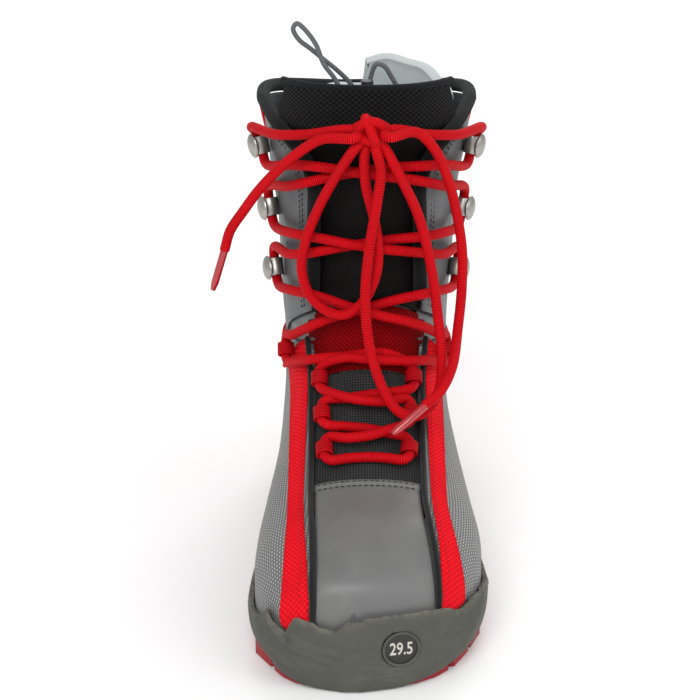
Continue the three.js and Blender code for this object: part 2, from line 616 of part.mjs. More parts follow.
// ---------------------------------------------------------------- liner
function buildLiner() {
  const floorZ = MIDSOLE_TOP + GAP + BOARD + GAP;
  const footTopCut = sidePrism([
    [-400, footTop(-400) - 1], [FLEX_Y, footTop(FLEX_Y) - 1], [400, footTop(400) - 1], [400, 700], [-400, 700],
  ]);
  const under = (z) => box(-200, 200, -300, 300, -50, z);
  const outer = toSolid(filled(0.02, 10.5, -LINER_INSET, 18, 19)).subtract(toSolid(under(floorZ)));
  const inner = toSolid(filled(0.4, 10.6, -LINER_INSET - LINER, 18, 19)).subtract(toSolid(under(floorZ + LINER - 1)));
  add("liner_foot", toGeometry(outer.subtract(inner).subtract(toSolid(footTopCut))), "liner");

  const footbedZ = floorZ + LINER - 1 + GAP;
  const shrink = () => -LINER_INSET - LINER - 5.4;
  add("footbed", plate(outlineAt(footbedZ, shrink, 12), footbedZ, footbedZ + FOOTBED), "foam");

  const split = 26;
  const collar = (u, v) => {
    const phi = lerp(split, 360 - split, u);
    const folded = phi > 180 ? 360 - phi : phi;
    const low = solve((s) => skin(s, phi, -LINER_INSET).z - cuffBottom(skin(s, phi, -LINER_INSET).y) - 1, 7.5, 11.5);
    const rear = THREE.MathUtils.smoothstep(folded, 60, 150);
    const high = solve((s) => skin(s, phi).z - (CUFF_HEIGHT - 34 + rear * (phi > 180 ? 5 : 20)), 10, 13.3);
    return [lerp(low, high, v), phi];
  };
  add("liner_cuff", slab(collar, 20, 5, -LINER_INSET - LINER, -LINER_INSET), "liner");

  const flap = (u, v) => {
    const phi = lerp(-31, 31, u);
    const low = solve((s) => skin(s, phi, -15).z - cuffBottom(skin(s, phi, -15).y) - 2, 7.5, 11.5);
    return [lerp(low, 12.2, v), phi];
  };
  const flapOut = -LINER_INSET - LINER - 1;
  add("liner_tongue", slab(flap, 6, 6, flapOut - 3.5, flapOut), "liner");
}

// ---------------------------------------------------------------- hooks, loops and the lace
const HOOK_Z = [238, 201, 165]; // from the top
const HOOK_ANGLE = [69, 68, 67];
const ANKLE_GUIDE = [7.62, 52];
const LOOP_STATIONS = [6.55, 5.75, 4.95];
const LACE_HEIGHT = HOOK_METAL + GAP + HOOK_BORE_R; // the lace's axis above the panel, in a hook

const hookFrames = SIDES.map(([, side]) =>
  HOOK_Z.map((z, i) => {
    const phi = side * HOOK_ANGLE[i];
    return frameAt(solve((s) => skin(s, phi).z - z, 8, 12.9), phi);
  }),
);
const guideFrames = SIDES.map(([, side]) => [
  frameAt(ANKLE_GUIDE[0], side * ANKLE_GUIDE[1], GAP + OVERLAY),
  ...LOOP_STATIONS.map((s) => frameAt(s, throatAngle(s, side) - side * 7, 0)),
]);

// A mesh whose x is the frame's away, y its normal and z its up.
function placed(geometry, frame, side, lift) {
  const basis = new THREE.Matrix4().makeBasis(
    frame.away.clone().multiplyScalar(side), frame.normal, frame.up.clone());
  if (basis.determinant() < 0) basis.makeBasis(frame.away.clone().multiplyScalar(side), frame.normal, frame.up.clone().negate());
  return geometry.applyMatrix4(basis.setPosition(frame.point.clone().addScaledVector(frame.normal, lift)));
}

function hookShape(side) {
  const [inner, outer] = [HOOK_BORE_R, HOOK_BORE_R + HOOK_METAL];
  const shape = new THREE.Shape();
  const cy = outer;
  shape.moveTo(side * 6, 0);
  shape.lineTo(0, 0);
  shape.absarc(0, cy, outer, -Math.PI / 2, side > 0 ? -1.5 * Math.PI : Math.PI / 2, side > 0);
  shape.lineTo(side * 2.6, 2 * outer);
  shape.lineTo(side * 2.6, 2 * outer - HOOK_METAL);
  shape.lineTo(0, 2 * outer - HOOK_METAL);
  shape.absarc(0, cy, inner, side > 0 ? -1.5 * Math.PI : Math.PI / 2, -Math.PI / 2, side < 0);
  shape.lineTo(side * 6, HOOK_METAL);
  shape.closePath();
  return shape;
}

function buildHooks() {
  SIDES.forEach(([name, side], k) => {
    hookFrames[k].forEach((frame, i) => {
      const g = new THREE.ExtrudeGeometry(hookShape(side), { depth: HOOK_HEIGHT, bevelEnabled: false, curveSegments: 5 });
      add(`hook_${name}_${i + 1}`, placed(g.translate(0, 0, -HOOK_HEIGHT / 2), frame, side, GAP), "steel");
    });
    guideFrames[k].forEach((frame, i) => {
      const r = LACE_D / 2 + 0.7;
      const shape = polygon((r + LOOP_WALL) / Math.cos(Math.PI / 8), 8);
      shape.holes.push(new THREE.Path(polygon(r / Math.cos(Math.PI / 8), 8).getPoints()));
      const g = new THREE.ExtrudeGeometry(shape, { depth: LOOP_WIDTH, bevelEnabled: false });
      const lift = r + LOOP_WALL + GAP;
      add(i ? `lace_loop_${name}_${i}` : `ankle_loop_${name}`, placed(g.translate(0, 0, -LOOP_WIDTH / 2), frame, side, lift),
        "red_fabric");
    });
  });
}

// A point in front of the throat: x across, z up, and lift mm outside the last.
function frontPoint(x, z, lift) {
  const s = solve((t) => {
    const phi = Math.sign(x || 1) * solve((a) => Math.abs(skin(t, Math.sign(x || 1) * a, lift).x) - Math.abs(x), 0, 88);
    return skin(t, phi, lift).z - z;
  }, 3, 12.99);
  const phi = Math.sign(x || 1) * solve((a) => Math.abs(skin(s, Math.sign(x || 1) * a, lift).x) - Math.abs(x), 0, 88);
  return skin(s, phi, lift);
}

// The lace through a hook or a loop, from below to above it.
function through(frame, height, half, reach) {
  const at = (away, up) => offsetFrom(frame, height, away, up);
  return [at(-reach, -half - reach - 1), at(0, -half - 0.5), at(0, half + 0.5), at(-reach, half + reach + 1)];
}

// A strand from one side to the other, bowed up by rise. lifts lists [x, lift] from the starting
// side, x being positive there; it is the height of the lace's axis above the last.
function strand(from, to, lifts, rise) {
  const side = Math.sign(from.x);
  return lifts.map(([x, lift]) => {
    const share = (from.x - side * x) / (from.x - to.x);
    return frontPoint(side * x, lerp(from.z, to.z, share) + rise * (1 - (2 * share - 1) ** 4), lift);
  });
}

const ON_TONGUE = TONGUE_OUT + LACE_D / 2 + 1;
const OVER = ON_TONGUE + LACE_D + 1.4; // above the strand it crosses
const ON_COLLAR = TONGUE_OUT + 2 * COLLAR_R + 0.8 + GAP + LACE_D / 2 + 1.1;
const ON_PIPING = 2 * PIPING_R + GAP + LACE_D / 2 + 1.5;
const EDGE = THROAT_HALF_SHAFT - 0.5;
const IN_LOOP = LACE_D / 2 + 0.7 + LOOP_WALL + GAP;
const mirrored = (lifts) => [...lifts, ...lifts.slice(0, -1).reverse().map(([x, lift]) => [-x, lift])];

const CROSSING = (mid) => [[0.38 * THROAT_HALF, lerp(mid, IN_LOOP, 0.35)], [0, mid]];
const FOOT_STRAND = (mid) => mirrored(CROSSING(mid));
const TO_ANKLE = (mid) => [...FOOT_STRAND(mid), [-0.8 * EDGE, lerp(mid, ON_PIPING, 0.7)], [-EDGE - 1, ON_PIPING]];
const FROM_ANKLE = (mid) => TO_ANKLE(mid).map(([x, lift]) => [-x, lift]).reverse();
const SHAFT_STRAND = (mid) =>
  mirrored([[1.36 * EDGE, ON_COLLAR], [EDGE, ON_COLLAR + 0.4], [0.66 * EDGE, Math.max(mid + 0.4, ON_COLLAR - 3.6)],
    [EDGE / 3, mid + 0.4], [0, mid]]);

const ANKLE_RISE = 9;
const SHAFT_RISE = [14, 10, 15];
const KNOT = { x: 2, z: 261, lift: 15, size: [8.5, 6.5, 7.5] };

// Where a strand meets the knot: an angle in the front view and a lean to the front, in degrees.
function knotPort(knot, angle, lean, reach) {
  const [a, b] = [rad(angle), rad(lean)];
  const way = new THREE.Vector3(Math.cos(a) * Math.cos(b), -Math.sin(b), Math.sin(a) * Math.cos(b));
  const [rx, ry, rz] = KNOT.size;
  const radius = 1 / Math.hypot(way.x / rx, way.y / ry, way.z / rz);
  return knot.clone().addScaledVector(way, radius + reach);
}

// A point in front of the boot that hangs lift mm outside it.
function hanging([x, z, lift]) {
  const side = Math.min(Math.max(x, -26), 26);
  return new THREE.Vector3(x, frontPoint(side, z, lift).y, z);
}

function buildLace() {
  const half = HOOK_HEIGHT / 2;
  const knot = frontPoint(KNOT.x, KNOT.z, KNOT.lift);
  const guide = (k, i) => through(guideFrames[k][i], IN_LOOP, LOOP_WIDTH / 2, 3);
  const hook = (k, i) => through(hookFrames[k][i], LACE_HEIGHT, half, 4.5);
  const down = (k, i) => guide(k, i).reverse();
  const last = (list) => list[list.length - 1];
  const centre = (k, up) => offsetFrom(guideFrames[k][0], IN_LOOP, 0, up);

  // Over the foot the lace runs from one ankle loop down to the bottom bar and up to the other.
  const route = [centre(1, -GAP), ...guide(1, 0).slice(0, 2).reverse()];
  const legs = [
    [down(0, 1), FROM_ANKLE(OVER), ANKLE_RISE], [down(1, 2), FOOT_STRAND(OVER), 0], [down(0, 3), FOOT_STRAND(OVER), 0],
    [guide(1, 3), FOOT_STRAND(ON_TONGUE + 1), 0], [guide(0, 2), FOOT_STRAND(ON_TONGUE), 0],
    [guide(1, 1), FOOT_STRAND(ON_TONGUE), 0], [[...guide(0, 0).slice(0, 2), centre(0, -GAP)], TO_ANKLE(ON_TONGUE), ANKLE_RISE],
  ];
  for (const [stop, lifts, rise] of legs) route.push(...strand(last(route), stop[0], lifts, rise), ...stop);
  add("lace_foot", cord(route, LACE_D), "lace");

  // Each end goes on from its ankle loop through three hooks to the knot.
  for (const [k, name, mids] of [[1, "a", [OVER, ON_TONGUE, OVER]], [0, "b", [ON_TONGUE, OVER, ON_TONGUE]]]) {
    const path = [centre(k, GAP), ...guide(k, 0).slice(2)];
    [[1 - k, 2], [k, 1], [1 - k, 0]].forEach(([side, i], leg) => {
      const stop = hook(side, i);
      if (leg === 2) stop[3] = offsetFrom(hookFrames[side][i], ON_COLLAR, -3.5, half + 5.5);
      path.push(...strand(last(path), stop[0], SHAFT_STRAND(mids[leg]), SHAFT_RISE[leg]), ...stop);
    });
    const [end, lead] = [0.7, 6].map((reach) => knotPort(knot, k ? 180 : 0, -8, reach));
    const tail = last(path);
    const side = Math.sign(tail.x);
    path.push(
      ...[[1.6 * EDGE, ON_COLLAR + 1], [1.3 * EDGE, ON_COLLAR + 0.8], [EDGE, ON_COLLAR + 0.4]].map(([x, lift]) => {
        const share = (Math.abs(tail.x) - x) / Math.abs(tail.x);
        return frontPoint(side * x, lerp(tail.z, knot.z, share ** 0.7), lift);
      }),
      lead, end,
    );
    add(`lace_shaft_${name}`, cord(path, LACE_D), "lace");
  }
  const [rx, ry, rz] = KNOT.size;
  add("lace_knot", new THREE.SphereGeometry(1, 12, 8).scale(rx, ry, rz).translate(...knot.toArray()), "lace");

  // The bow hangs from the knot: two loops and two free ends with their tips.
  const tied = (from, list, to) => [
    knotPort(knot, ...from, 0.7), knotPort(knot, ...from, 4.5), ...list.map(hanging),
    ...(to ? [knotPort(knot, ...to, 4.5), knotPort(knot, ...to, 0.7)] : []),
  ];
  const LOOP_LEFT = [
    [-16, 236, 15], [-26, 216, 15], [-33, 197, 15], [-35, 182, 15], [-31, 168, 15], [-22, 160, 15], [-12, 159, 15],
    [-3, 165, 15], [4, 178, 15], [6, 192, 15], [4, 210, 15], [-1, 232, 15],
  ];
  const LOOP_RIGHT = [
    [17, 237, 22], [27, 214, 21], [34, 186, 21], [38, 158, 20], [40, 138, 19], [38, 123, 18], [31, 114, 16],
    [23, 112, 15], [16, 115, 15], [9, 124, 16], [2, 142, 18], [-1, 168, 22], [1, 196, 22], [5, 222, 22], [7, 240, 20],
  ];
  const END_LEFT = [[-24, 256, 17], [-40, 245, 17], [-56, 228, 15], [-66, 214, 14], [-73, 203, 13], [-76, 193, 13]];
  const END_RIGHT = [
    [25, 260, 17], [35, 250, 15], [43, 231, 13], [48, 211, 12], [51, 191, 12], [51, 169, 13], [49, 150, 15],
    [45, 136, 25], [38, 127, 29], [31, 122, 29],
  ];
  add("bow_loop_left", cord(tied([226, 12], LOOP_LEFT, [254, 0]), LACE_D), "lace");
  add("bow_loop_right", cord(tied([308, 8], LOOP_RIGHT, [285, 22]), LACE_D), "lace");
  for (const [name, from, list] of [["left", [194, 34], END_LEFT], ["right", [350, 36], END_RIGHT]]) {
    const path = tied(from, list);
    add(`lace_end_${name}`, cord(path, LACE_D), "lace");
    const tip = last(path);
    const way = tip.clone().sub(path[path.length - 2]).normalize();
    const g = new THREE.CylinderGeometry(AGLET_D / 2, AGLET_D / 2, AGLET_LENGTH, 12)
      .applyQuaternion(new THREE.Quaternion().setFromUnitVectors(new THREE.Vector3(0, 1, 0), way))
      .translate(...tip.clone().addScaledVector(way, GAP + AGLET_LENGTH / 2).toArray());
    add(`aglet_${name}`, g, "plastic_red");
  }
}

// ---------------------------------------------------------------- the liner's draw cord and its lock
const LOCK = { y: CUFF_FRONT_Y + 14.8, z: CUFF_HEIGHT - 10, size: [15, 11, 13], bore: 3.7, cordBore: 1.9, play: 0.4, rise: 5, travel: 3 };

function upright(radius, z0, z1, y) {
  return new THREE.CylinderGeometry(radius, radius, z1 - z0, 20).rotateX(Math.PI / 2).translate(0, y, (z0 + z1) / 2);
}
function buildLock() {
  const [w, d, h] = LOCK.size;
  const crossBore = (up) => {
    const r = LOCK.cordBore;
    const shape = [[-r, -r], [r, -r], [r, r + up], [-r, r + up]].map(([y, z]) => [LOCK.y + y, LOCK.z + z]);
    return toSolid(sidePrism(shape, 2 * w));
  };
  const top = LOCK.z + h / 2;
  const floor = LOCK.z - h / 2 + 1.2;
  const body = toSolid(box(-w / 2, w / 2, LOCK.y - d / 2, LOCK.y + d / 2, LOCK.z - h / 2, top))
    .subtract(toSolid(upright(LOCK.bore, floor, top + 1, LOCK.y)))
    .subtract(crossBore(0));
  add("cord_lock_body", toGeometry(body), "plastic");
  const stem = toSolid(upright(LOCK.bore - LOCK.play, floor + LOCK.travel + 0.4, top + LOCK.rise, LOCK.y));
  add("cord_lock_button", toGeometry(stem.subtract(crossBore(LOCK.travel))), "plastic");

  // Points across, back from and above the lock's centre.
  const route = [
    [20, 3.2, -20], [18, 0.2, -12], [13, 0, -4], [9, 0, 0], [0, 0, 0], [-9, 0, 0], [-13, 0.2, 4], [-17, 1.2, 12],
    [-23, 2.2, 20], [-27, 3.2, 30], [-33, 4.2, 38], [-37, 4.2, 41], [-39, 5.2, 38], [-36, 6.2, 32], [-30, 7.2, 27],
    [-23, 8.2, 21], [-16, 9.2, 15], [-9, 9.2, 8], [-4, 10.2, 0], [-1, 11.2, -4], [1, 11.2, 0], [2, 11.2, 11],
    [5, 10.2, 18], [9, 10.2, 17], [13, 10.2, 11], [18, 11.2, 2], [23, 12.2, -8],
  ].map(([x, back, up]) => new THREE.Vector3(x, LOCK.y + back, LOCK.z + up));
  add("draw_cord", cord(route, CORD_D), "cord");
}

buildRand(buildSole());
buildVamp();
buildTongue();
buildCuff();
buildLiner();
buildHooks();
buildLace();
buildLock();

export default boot;
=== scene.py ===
"""A lace-up snowboard boot for the left foot. +Z is up, the toe points along -Y and the outer side is +X.

Sizes are in millimetres and meshes in metres. Every soft panel lies on one shape, the last, which is a
row of stations from the toe over the instep to the collar. skin(s, phi, d) is the point of the last at
station s, at the angle phi round the section and d mm outside it.
"""

import math
from collections import namedtuple
from functools import lru_cache

import bmesh
import bpy
from mathutils import Matrix, Vector


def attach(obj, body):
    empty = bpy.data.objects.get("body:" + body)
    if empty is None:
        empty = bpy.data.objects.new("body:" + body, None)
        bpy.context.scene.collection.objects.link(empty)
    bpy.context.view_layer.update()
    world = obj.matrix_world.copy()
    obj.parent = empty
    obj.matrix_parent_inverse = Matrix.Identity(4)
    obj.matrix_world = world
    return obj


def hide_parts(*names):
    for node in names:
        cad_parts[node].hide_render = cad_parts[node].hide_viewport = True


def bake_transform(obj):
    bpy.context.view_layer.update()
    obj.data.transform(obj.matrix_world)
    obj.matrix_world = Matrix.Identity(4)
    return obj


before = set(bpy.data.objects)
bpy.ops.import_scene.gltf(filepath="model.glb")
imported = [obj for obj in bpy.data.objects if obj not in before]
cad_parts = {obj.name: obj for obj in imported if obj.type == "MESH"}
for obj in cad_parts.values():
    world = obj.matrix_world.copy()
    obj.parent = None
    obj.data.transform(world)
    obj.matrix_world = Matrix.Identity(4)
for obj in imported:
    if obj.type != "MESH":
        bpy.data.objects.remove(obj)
bpy.ops.object.select_all(action="DESELECT")
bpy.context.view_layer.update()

# ---------------------------------------------------------------- sizes, in millimetres
MM = 0.001
UPPER_LENGTH = 314
TOE_Y = -156
BALL_WIDTH = 119
WAIST_WIDTH = 101
HEEL_WIDTH = 93
CUFF_WIDTH = 122
CUFF_HEIGHT = 280
CUFF_DEPTH = 150
CUFF_FRONT_Y = -24
INSTEP_HEIGHT = 114
TOE_HEIGHT = 44
BASE = 4
PANEL = 2
OVERLAY = 1.6
GAP = 0.4
EAR_DROP = 24
TONGUE = 3
LINER = 5.5
LINER_INSET = 8
RAND_WALL = 3.6
TREAD_TOP = 12
THROAT_HALF = 28
THROAT_HALF_SHAFT = 31
TOE_CAP_HALF = 31
TOE_SHIFT = 4
PIPING_R = 1.6
BAND_WIDTH = 10
BAND_WIDTH_TOE = 13
COLLAR_R = 3.2
LACE_D = 5.5
CORD_D = 2.6
AGLET_D = 5
AGLET_LENGTH = 24
HOOK_HEIGHT = 10
HOOK_METAL = 1.2
HOOK_BORE_R = 3.4
LOOP_WIDTH = 7
LOOP_WALL = 1.2
BADGE_R = 8.6
FLEX_FORWARD = 12
FLEX_BACK = 4
FLEX_Y = 56
FLEX_Z = 118
THROAT_STATION = 4.25
SHAFT_STATION = 8.4
TUCK_Z = 22
FLEX_CLEAR = 1.5
SIDES = (("medial", -1), ("lateral", 1))

# ---------------------------------------------------------------- the last
HEEL_Y = TOE_Y + UPPER_LENGTH
CUFF_BACK_Y = CUFF_FRONT_Y + CUFF_DEPTH


def lerp(a, b, t):
    return a + (b - a) * t


def smooth(x, lo, hi):
    t = min(max((x - lo) / (hi - lo), 0), 1)
    return t * t * (3 - 2 * t)


def foot(share):
    return TOE_Y + share * UPPER_LENGTH


def rise(share):
    return lerp(156, CUFF_HEIGHT, share)


# front y, front z, back y, back z, half width, centre x, roundness of the front and of the back half
# of the section, and the share of an offset that goes forwards at the toe
STATIONS = (
    (foot(0), TOE_HEIGHT - 2, foot(0), BASE, 1.5, -7, 2.2, 5, 1),
    (foot(0.016), TOE_HEIGHT + 12, foot(0.019), BASE, 31, -6, 2.2, 5, 0.85),
    (foot(0.064), TOE_HEIGHT + 22, foot(0.064), BASE, 47, -3, 2.2, 5, 0.5),
    (foot(0.134), TOE_HEIGHT + 31, foot(0.134), BASE, 0.96 * BALL_WIDTH / 2, -1, 2.3, 5, 0.2),
    (foot(0.216), TOE_HEIGHT + 38, foot(0.223), BASE, BALL_WIDTH / 2, 1, 2.3, 5, 0),
    (foot(0.293), 94, foot(0.38), BASE, lerp(WAIST_WIDTH, BALL_WIDTH, 0.6) / 2, 1, 2.3, 5, 0),
    (foot(0.357), INSTEP_HEIGHT, foot(0.62), BASE, WAIST_WIDTH / 2, 1, 2.3, 5, 0),
    (foot(0.404), 134, foot(0.9), BASE, 47.5, 0, 2.3, 4.6, 0),
    (-20, rise(0), HEEL_Y, 28, HEEL_WIDTH / 2, 0, 2.3, 3.2, 0),
    (-17, rise(0.2), HEEL_Y - 3, 88, 48, 0, 2.4, 2.5, 0),
    (-16, rise(0.4), lerp(HEEL_Y, CUFF_BACK_Y, 0.38), 140, 49.5, 0, 2.4, 2.4, 0),
    (-17, rise(0.6), lerp(HEEL_Y, CUFF_BACK_Y, 0.62), lerp(140, CUFF_HEIGHT, 0.35), 52.5, 0, 2.4, 2.4, 0),
    (-20, rise(0.8), lerp(HEEL_Y, CUFF_BACK_Y, 0.83), lerp(140, CUFF_HEIGHT, 0.67), 57, 0, 2.4, 2.4, 0),
    (CUFF_FRONT_Y, CUFF_HEIGHT, CUFF_BACK_Y, CUFF_HEIGHT, CUFF_WIDTH / 2, 0, 2.4, 2.4, 0),
)
TOP_STATION = len(STATIONS) - 1


@lru_cache(maxsize=None)
def station_at(s):
    """A smooth curve through the stations, column by column."""
    i = min(max(math.floor(s), 0), TOP_STATION - 1)
    t = s - i
    rows = [STATIONS[min(max(k, 0), TOP_STATION)] for k in range(i - 1, i + 3)]
    return [
        b + 0.5 * t * (c - a + t * (2 * a - 5 * b + 4 * c - e + t * (3 * (b - c) + e - a)))
        for a, b, c, e in zip(*rows)
    ]


def skin(s, phi, d=0.0):
    front_y, front_z, back_y, back_z, half_width, centre, round_front, round_back, forward = station_at(s)
    c = math.cos(math.radians(phi))
    n = round_front if c > 0 else round_back
    sn = math.sin(math.radians(phi))
    r = (abs(c) ** n + abs(sn) ** n) ** (-1 / n)
    half = math.hypot(front_y - back_y, front_z - back_z) / 2
    a = r * c * (half + d) / half
    x = centre + r * sn * max(half_width + d, 1.5)
    y = (front_y + back_y) / 2 + a * (front_y - back_y) / 2 - forward * d
    return Vector((x, y, (front_z + back_z) / 2 + a * (front_z - back_z) / 2))


def solve(f, lo, hi):
    """The value between lo and hi where f goes through zero."""
    rising = f(hi) > f(lo)
    for _ in range(24):
        mid = (lo + hi) / 2
        if (f(mid) > 0) == rising:
            hi = mid
        else:
            lo = mid
    return (lo + hi) / 2


def tabled(f, top=13.2, step=0.02):
    """f(s, side), read from a table of its values."""
    table = {side: [f(i * step, side) for i in range(round(top / step) + 2)] for side in (-1, 1)}

    def read(s, side):
        i = min(int(s / step), len(table[side]) - 2)
        return lerp(table[side][i], table[side][i + 1], s / step - i)

    return read


def middle(s):
    return TOE_SHIFT * (1 - smooth(s, 1.5, 4.2))


def angle_at_x(s, x, side):
    return side * solve(lambda phi: side * (skin(s, side * phi).x - middle(s)) - x, 0, 90)


@lru_cache(maxsize=None)
def angle_at_z(s, z, side):
    if station_at(s)[3] >= z:
        return side * 180
    return side * solve(lambda phi: skin(s, side * phi).z - z, 0, 180)


@lru_cache(maxsize=None)
def heel_station(z):
    return solve(lambda s: station_at(s)[3] - z, 7, 8.6)


Place = namedtuple("Place", "point normal away up")


def place_at(s, phi, d=0.0):
    """The point of the last, its outward normal, the way round the section and the way up the boot."""
    side = -1 if phi < 0 else 1
    away = (skin(s, phi + 0.5 * side, d) - skin(s, phi - 0.5 * side, d)).normalized()
    up = (skin(s + 0.02, phi, d) - skin(s - 0.02, phi, d)).normalized()
    normal = (up.cross(away) * -side).normalized()
    return Place(skin(s, phi, d), normal, away, (normal.cross(away) * side).normalized())


def off(place, normal, away, up):
    return place.point + place.normal * normal + place.away * away + place.up * up


def spread(t):
    """Steps that are short at the toe and at the heel, where the outline turns."""
    return 2 * t**2 if t < 0.5 else 1 - 4 * (1 - t) ** 3


def between(table, x):
    for (x0, y0), (x1, y1) in zip(table, table[1:]):
        if x < x1:
            x = max(x, x0)
            return lerp(y0, y1, smooth(x, x0, x1) * 0.4 + (x - x0) / (x1 - x0) * 0.6)
    return table[-1][1]


# ---------------------------------------------------------------- edges of the panels
def throat_half(s):
    if s < THROAT_STATION:
        return lerp(TOE_CAP_HALF, THROAT_HALF, smooth(s, 1, THROAT_STATION))
    return lerp(THROAT_HALF, THROAT_HALF_SHAFT, smooth(s, 6.5, SHAFT_STATION))


def band_half(s):
    return throat_half(s) + 2 * PIPING_R + lerp(BAND_WIDTH_TOE, BAND_WIDTH, smooth(s, 1.5, 4))


throat_angle = tabled(lambda s, side: angle_at_x(s, throat_half(s), side))
band_angle = tabled(lambda s, side: angle_at_x(s, band_half(s), side))


def tuck_angle(s, side):
    return angle_at_z(s, TUCK_Z, side)


def cap_angle(s, side):
    return side * min(abs(throat_angle(s, side)), abs(tuck_angle(s, side)))


def foot_top(y):
    """The height where the foot's parts end, over y."""
    slope = math.tan(math.radians(15)) if y < FLEX_Y else -math.tan(math.radians(6))
    return FLEX_Z - FLEX_CLEAR + abs(FLEX_Y - y) * slope


def cuff_bottom(y):
    """The height where the cuff begins. The wedge between them closes as the cuff leans."""
    slope = math.radians(15 + FLEX_FORWARD + 1.5) if y < FLEX_Y else math.radians(FLEX_BACK + 1 - 6)
    return FLEX_Z + FLEX_CLEAR + abs(FLEX_Y - y) * math.tan(slope)


EAR = ((0, 0), (0.66, 0), (0.76, 2.5), (0.85, 8), (0.92, 16), (0.97, 27), (1, 40))


def flap_angle(s, side):
    share = (skin(s, side * 45).z - 150) / (CUFF_HEIGHT - EAR_DROP - 150)
    return throat_angle(s, side) + side * between(EAR, share)


def collar_z(phi):
    return CUFF_HEIGHT - EAR_DROP - 14 * smooth(abs(phi), 85, 170)


def station_where(height, u, front, back, side, lo, hi):
    """The station where the line at share u between two edge angles passes a height."""

    def above(s):
        phi = lerp(front(s, side), back(s, side), u)
        p = skin(s, phi)
        return p.z - height(p.y, phi)

    return solve(above, lo, hi)


def foot_back(s, side):
    return side * 179.5 if station_at(s)[3] >= TUCK_Z else tuck_angle(s, side)


def foot_edge(u, front, side, inset=0):
    return station_where(lambda y, phi: foot_top(y) - inset, u, front, foot_back, side, 6.5, 10.5)


# ---------------------------------------------------------------- making meshes
END_STEP = 0.16  # from ring to ring of a tube's rounded end, as a share of its diameter


def keep(obj, name):
    obj.name = obj.data.name = name
    return obj


def modifier(obj, kind, **settings):
    """Adds a modifier and applies it."""
    made = obj.modifiers.new(kind.title(), kind)
    for key, value in settings.items():
        setattr(made, key, value)
    pick(obj)
    bpy.ops.object.modifier_apply(modifier=made.name)


def pick(obj):
    bpy.ops.object.select_all(action="DESELECT")
    obj.select_set(True)
    bpy.context.view_layer.objects.active = obj


def smooth_shade(obj, degrees=40):
    pick(obj)
    bpy.ops.object.shade_smooth_by_angle(angle=math.radians(degrees))


def wrap(name, at, across, along, out, thick, roll=(1.8, 0.7), relief=None, lay=None, ring=False, rim=0.3):
    """A panel on the last. at(u, v) gives [s, phi]; its outer face lies out mm outside the last, and its
    edges roll down over the first mm of roll by the second. relief(u, v, s, phi) adds to out, and
    lay(s, phi) gives the cloth's own coordinates in mm where the panel's own rows don't."""
    bpy.ops.mesh.primitive_grid_add(x_subdivisions=across, y_subdivisions=along, size=1)
    obj = keep(bpy.context.object, name)
    mesh = obj.data
    columns = len({round(v.co.x, 4) for v in mesh.vertices}) - 1
    rows = len(mesh.vertices) // (columns + 1) - 1
    spot = [(round((v.co.x + 0.5) * columns), round((v.co.y + 0.5) * rows)) for v in mesh.vertices]
    where = {(i, j): at(i / columns, j / rows) for i, j in spot}
    flat = {k: skin(*where[k], out) for k in where}
    around, up = {}, {}
    for j in range(rows + 1):
        for i in range(columns + 1):
            around[i, j] = around[i - 1, j] + (flat[i, j] - flat[i - 1, j]).length if i else 0.0
            up[i, j] = up[i, j - 1] + (flat[i, j] - flat[i, j - 1]).length if j else 0.0
    edge = mesh.attributes.new("edge", "FLOAT", "POINT")
    for vertex, (i, j) in zip(mesh.vertices, spot):
        s, phi = where[i, j]
        ends = [up[i, j], up[i, rows] - up[i, j]]
        if not ring:
            ends += [around[i, j], around[columns, j] - around[i, j]]
        near = min(ends)
        d = out - (roll[1] * (1 - smooth(near, 0, roll[0])) if roll else 0)
        if relief:
            d += relief(i / columns, j / rows, s, phi)
        vertex.co = skin(s, phi, d) * MM
        edge.data[vertex.index].value = math.exp(-near / 1.6)
    sheet = mesh.uv_layers[0].data
    for loop in mesh.loops:
        i, j = spot[loop.vertex_index]
        if lay:
            a, b = lay(*where[i, j])
        else:
            a, b = around[i, j] - around[columns, j] / 2, up[i, j]
        sheet[loop.index].uv = (a * MM, b * MM)
    mesh.update()
    facing = 0.0
    for face in list(mesh.polygons)[:: max(1, len(mesh.polygons) // 40)]:
        k = spot[face.vertices[0]]
        facing += face.normal.dot(skin(*where[k], out + 1) - flat[k])
    if facing < 0:
        mesh.flip_normals()
    if ring:
        pick(obj)
        bpy.ops.object.mode_set(mode="EDIT")
        bpy.ops.mesh.select_all(action="SELECT")
        bpy.ops.mesh.remove_doubles(threshold=0.02 * MM)
        bpy.ops.object.mode_set(mode="OBJECT")
    modifier(obj, "SOLIDIFY", thickness=thick * MM, offset=-1)
    if rim:
        modifier(obj, "BEVEL", width=rim * MM, segments=2, limit_method="ANGLE", angle_limit=math.radians(55))
    smooth_shade(obj)
    return obj


def curve_through(points, step):
    """Points about step apart on a centripetal curve through the given ones."""
    ends = [2 * points[0] - points[1], *points, 2 * points[-1] - points[-2]]
    found = []
    for a, b, c, e in zip(ends, ends[1:], ends[2:], ends[3:]):
        t0, t1, t2 = ((q - p).length ** 0.5 for p, q in ((a, b), (b, c), (c, e)))
        m1 = ((b - a) / t0 - (c - a) / (t0 + t1) + (c - b) / t1) * t1
        m2 = ((c - b) / t1 - (e - b) / (t1 + t2) + (e - c) / t2) * t1
        count = max(1, math.ceil((c - b).length / step))
        for k in range(count):
            t = k / count
            found.append(b + m1 * t + (3 * (c - b) - 2 * m1 - m2) * t**2 + (2 * (b - c) + m1 + m2) * t**3)
    return [*found, points[-1].copy()]


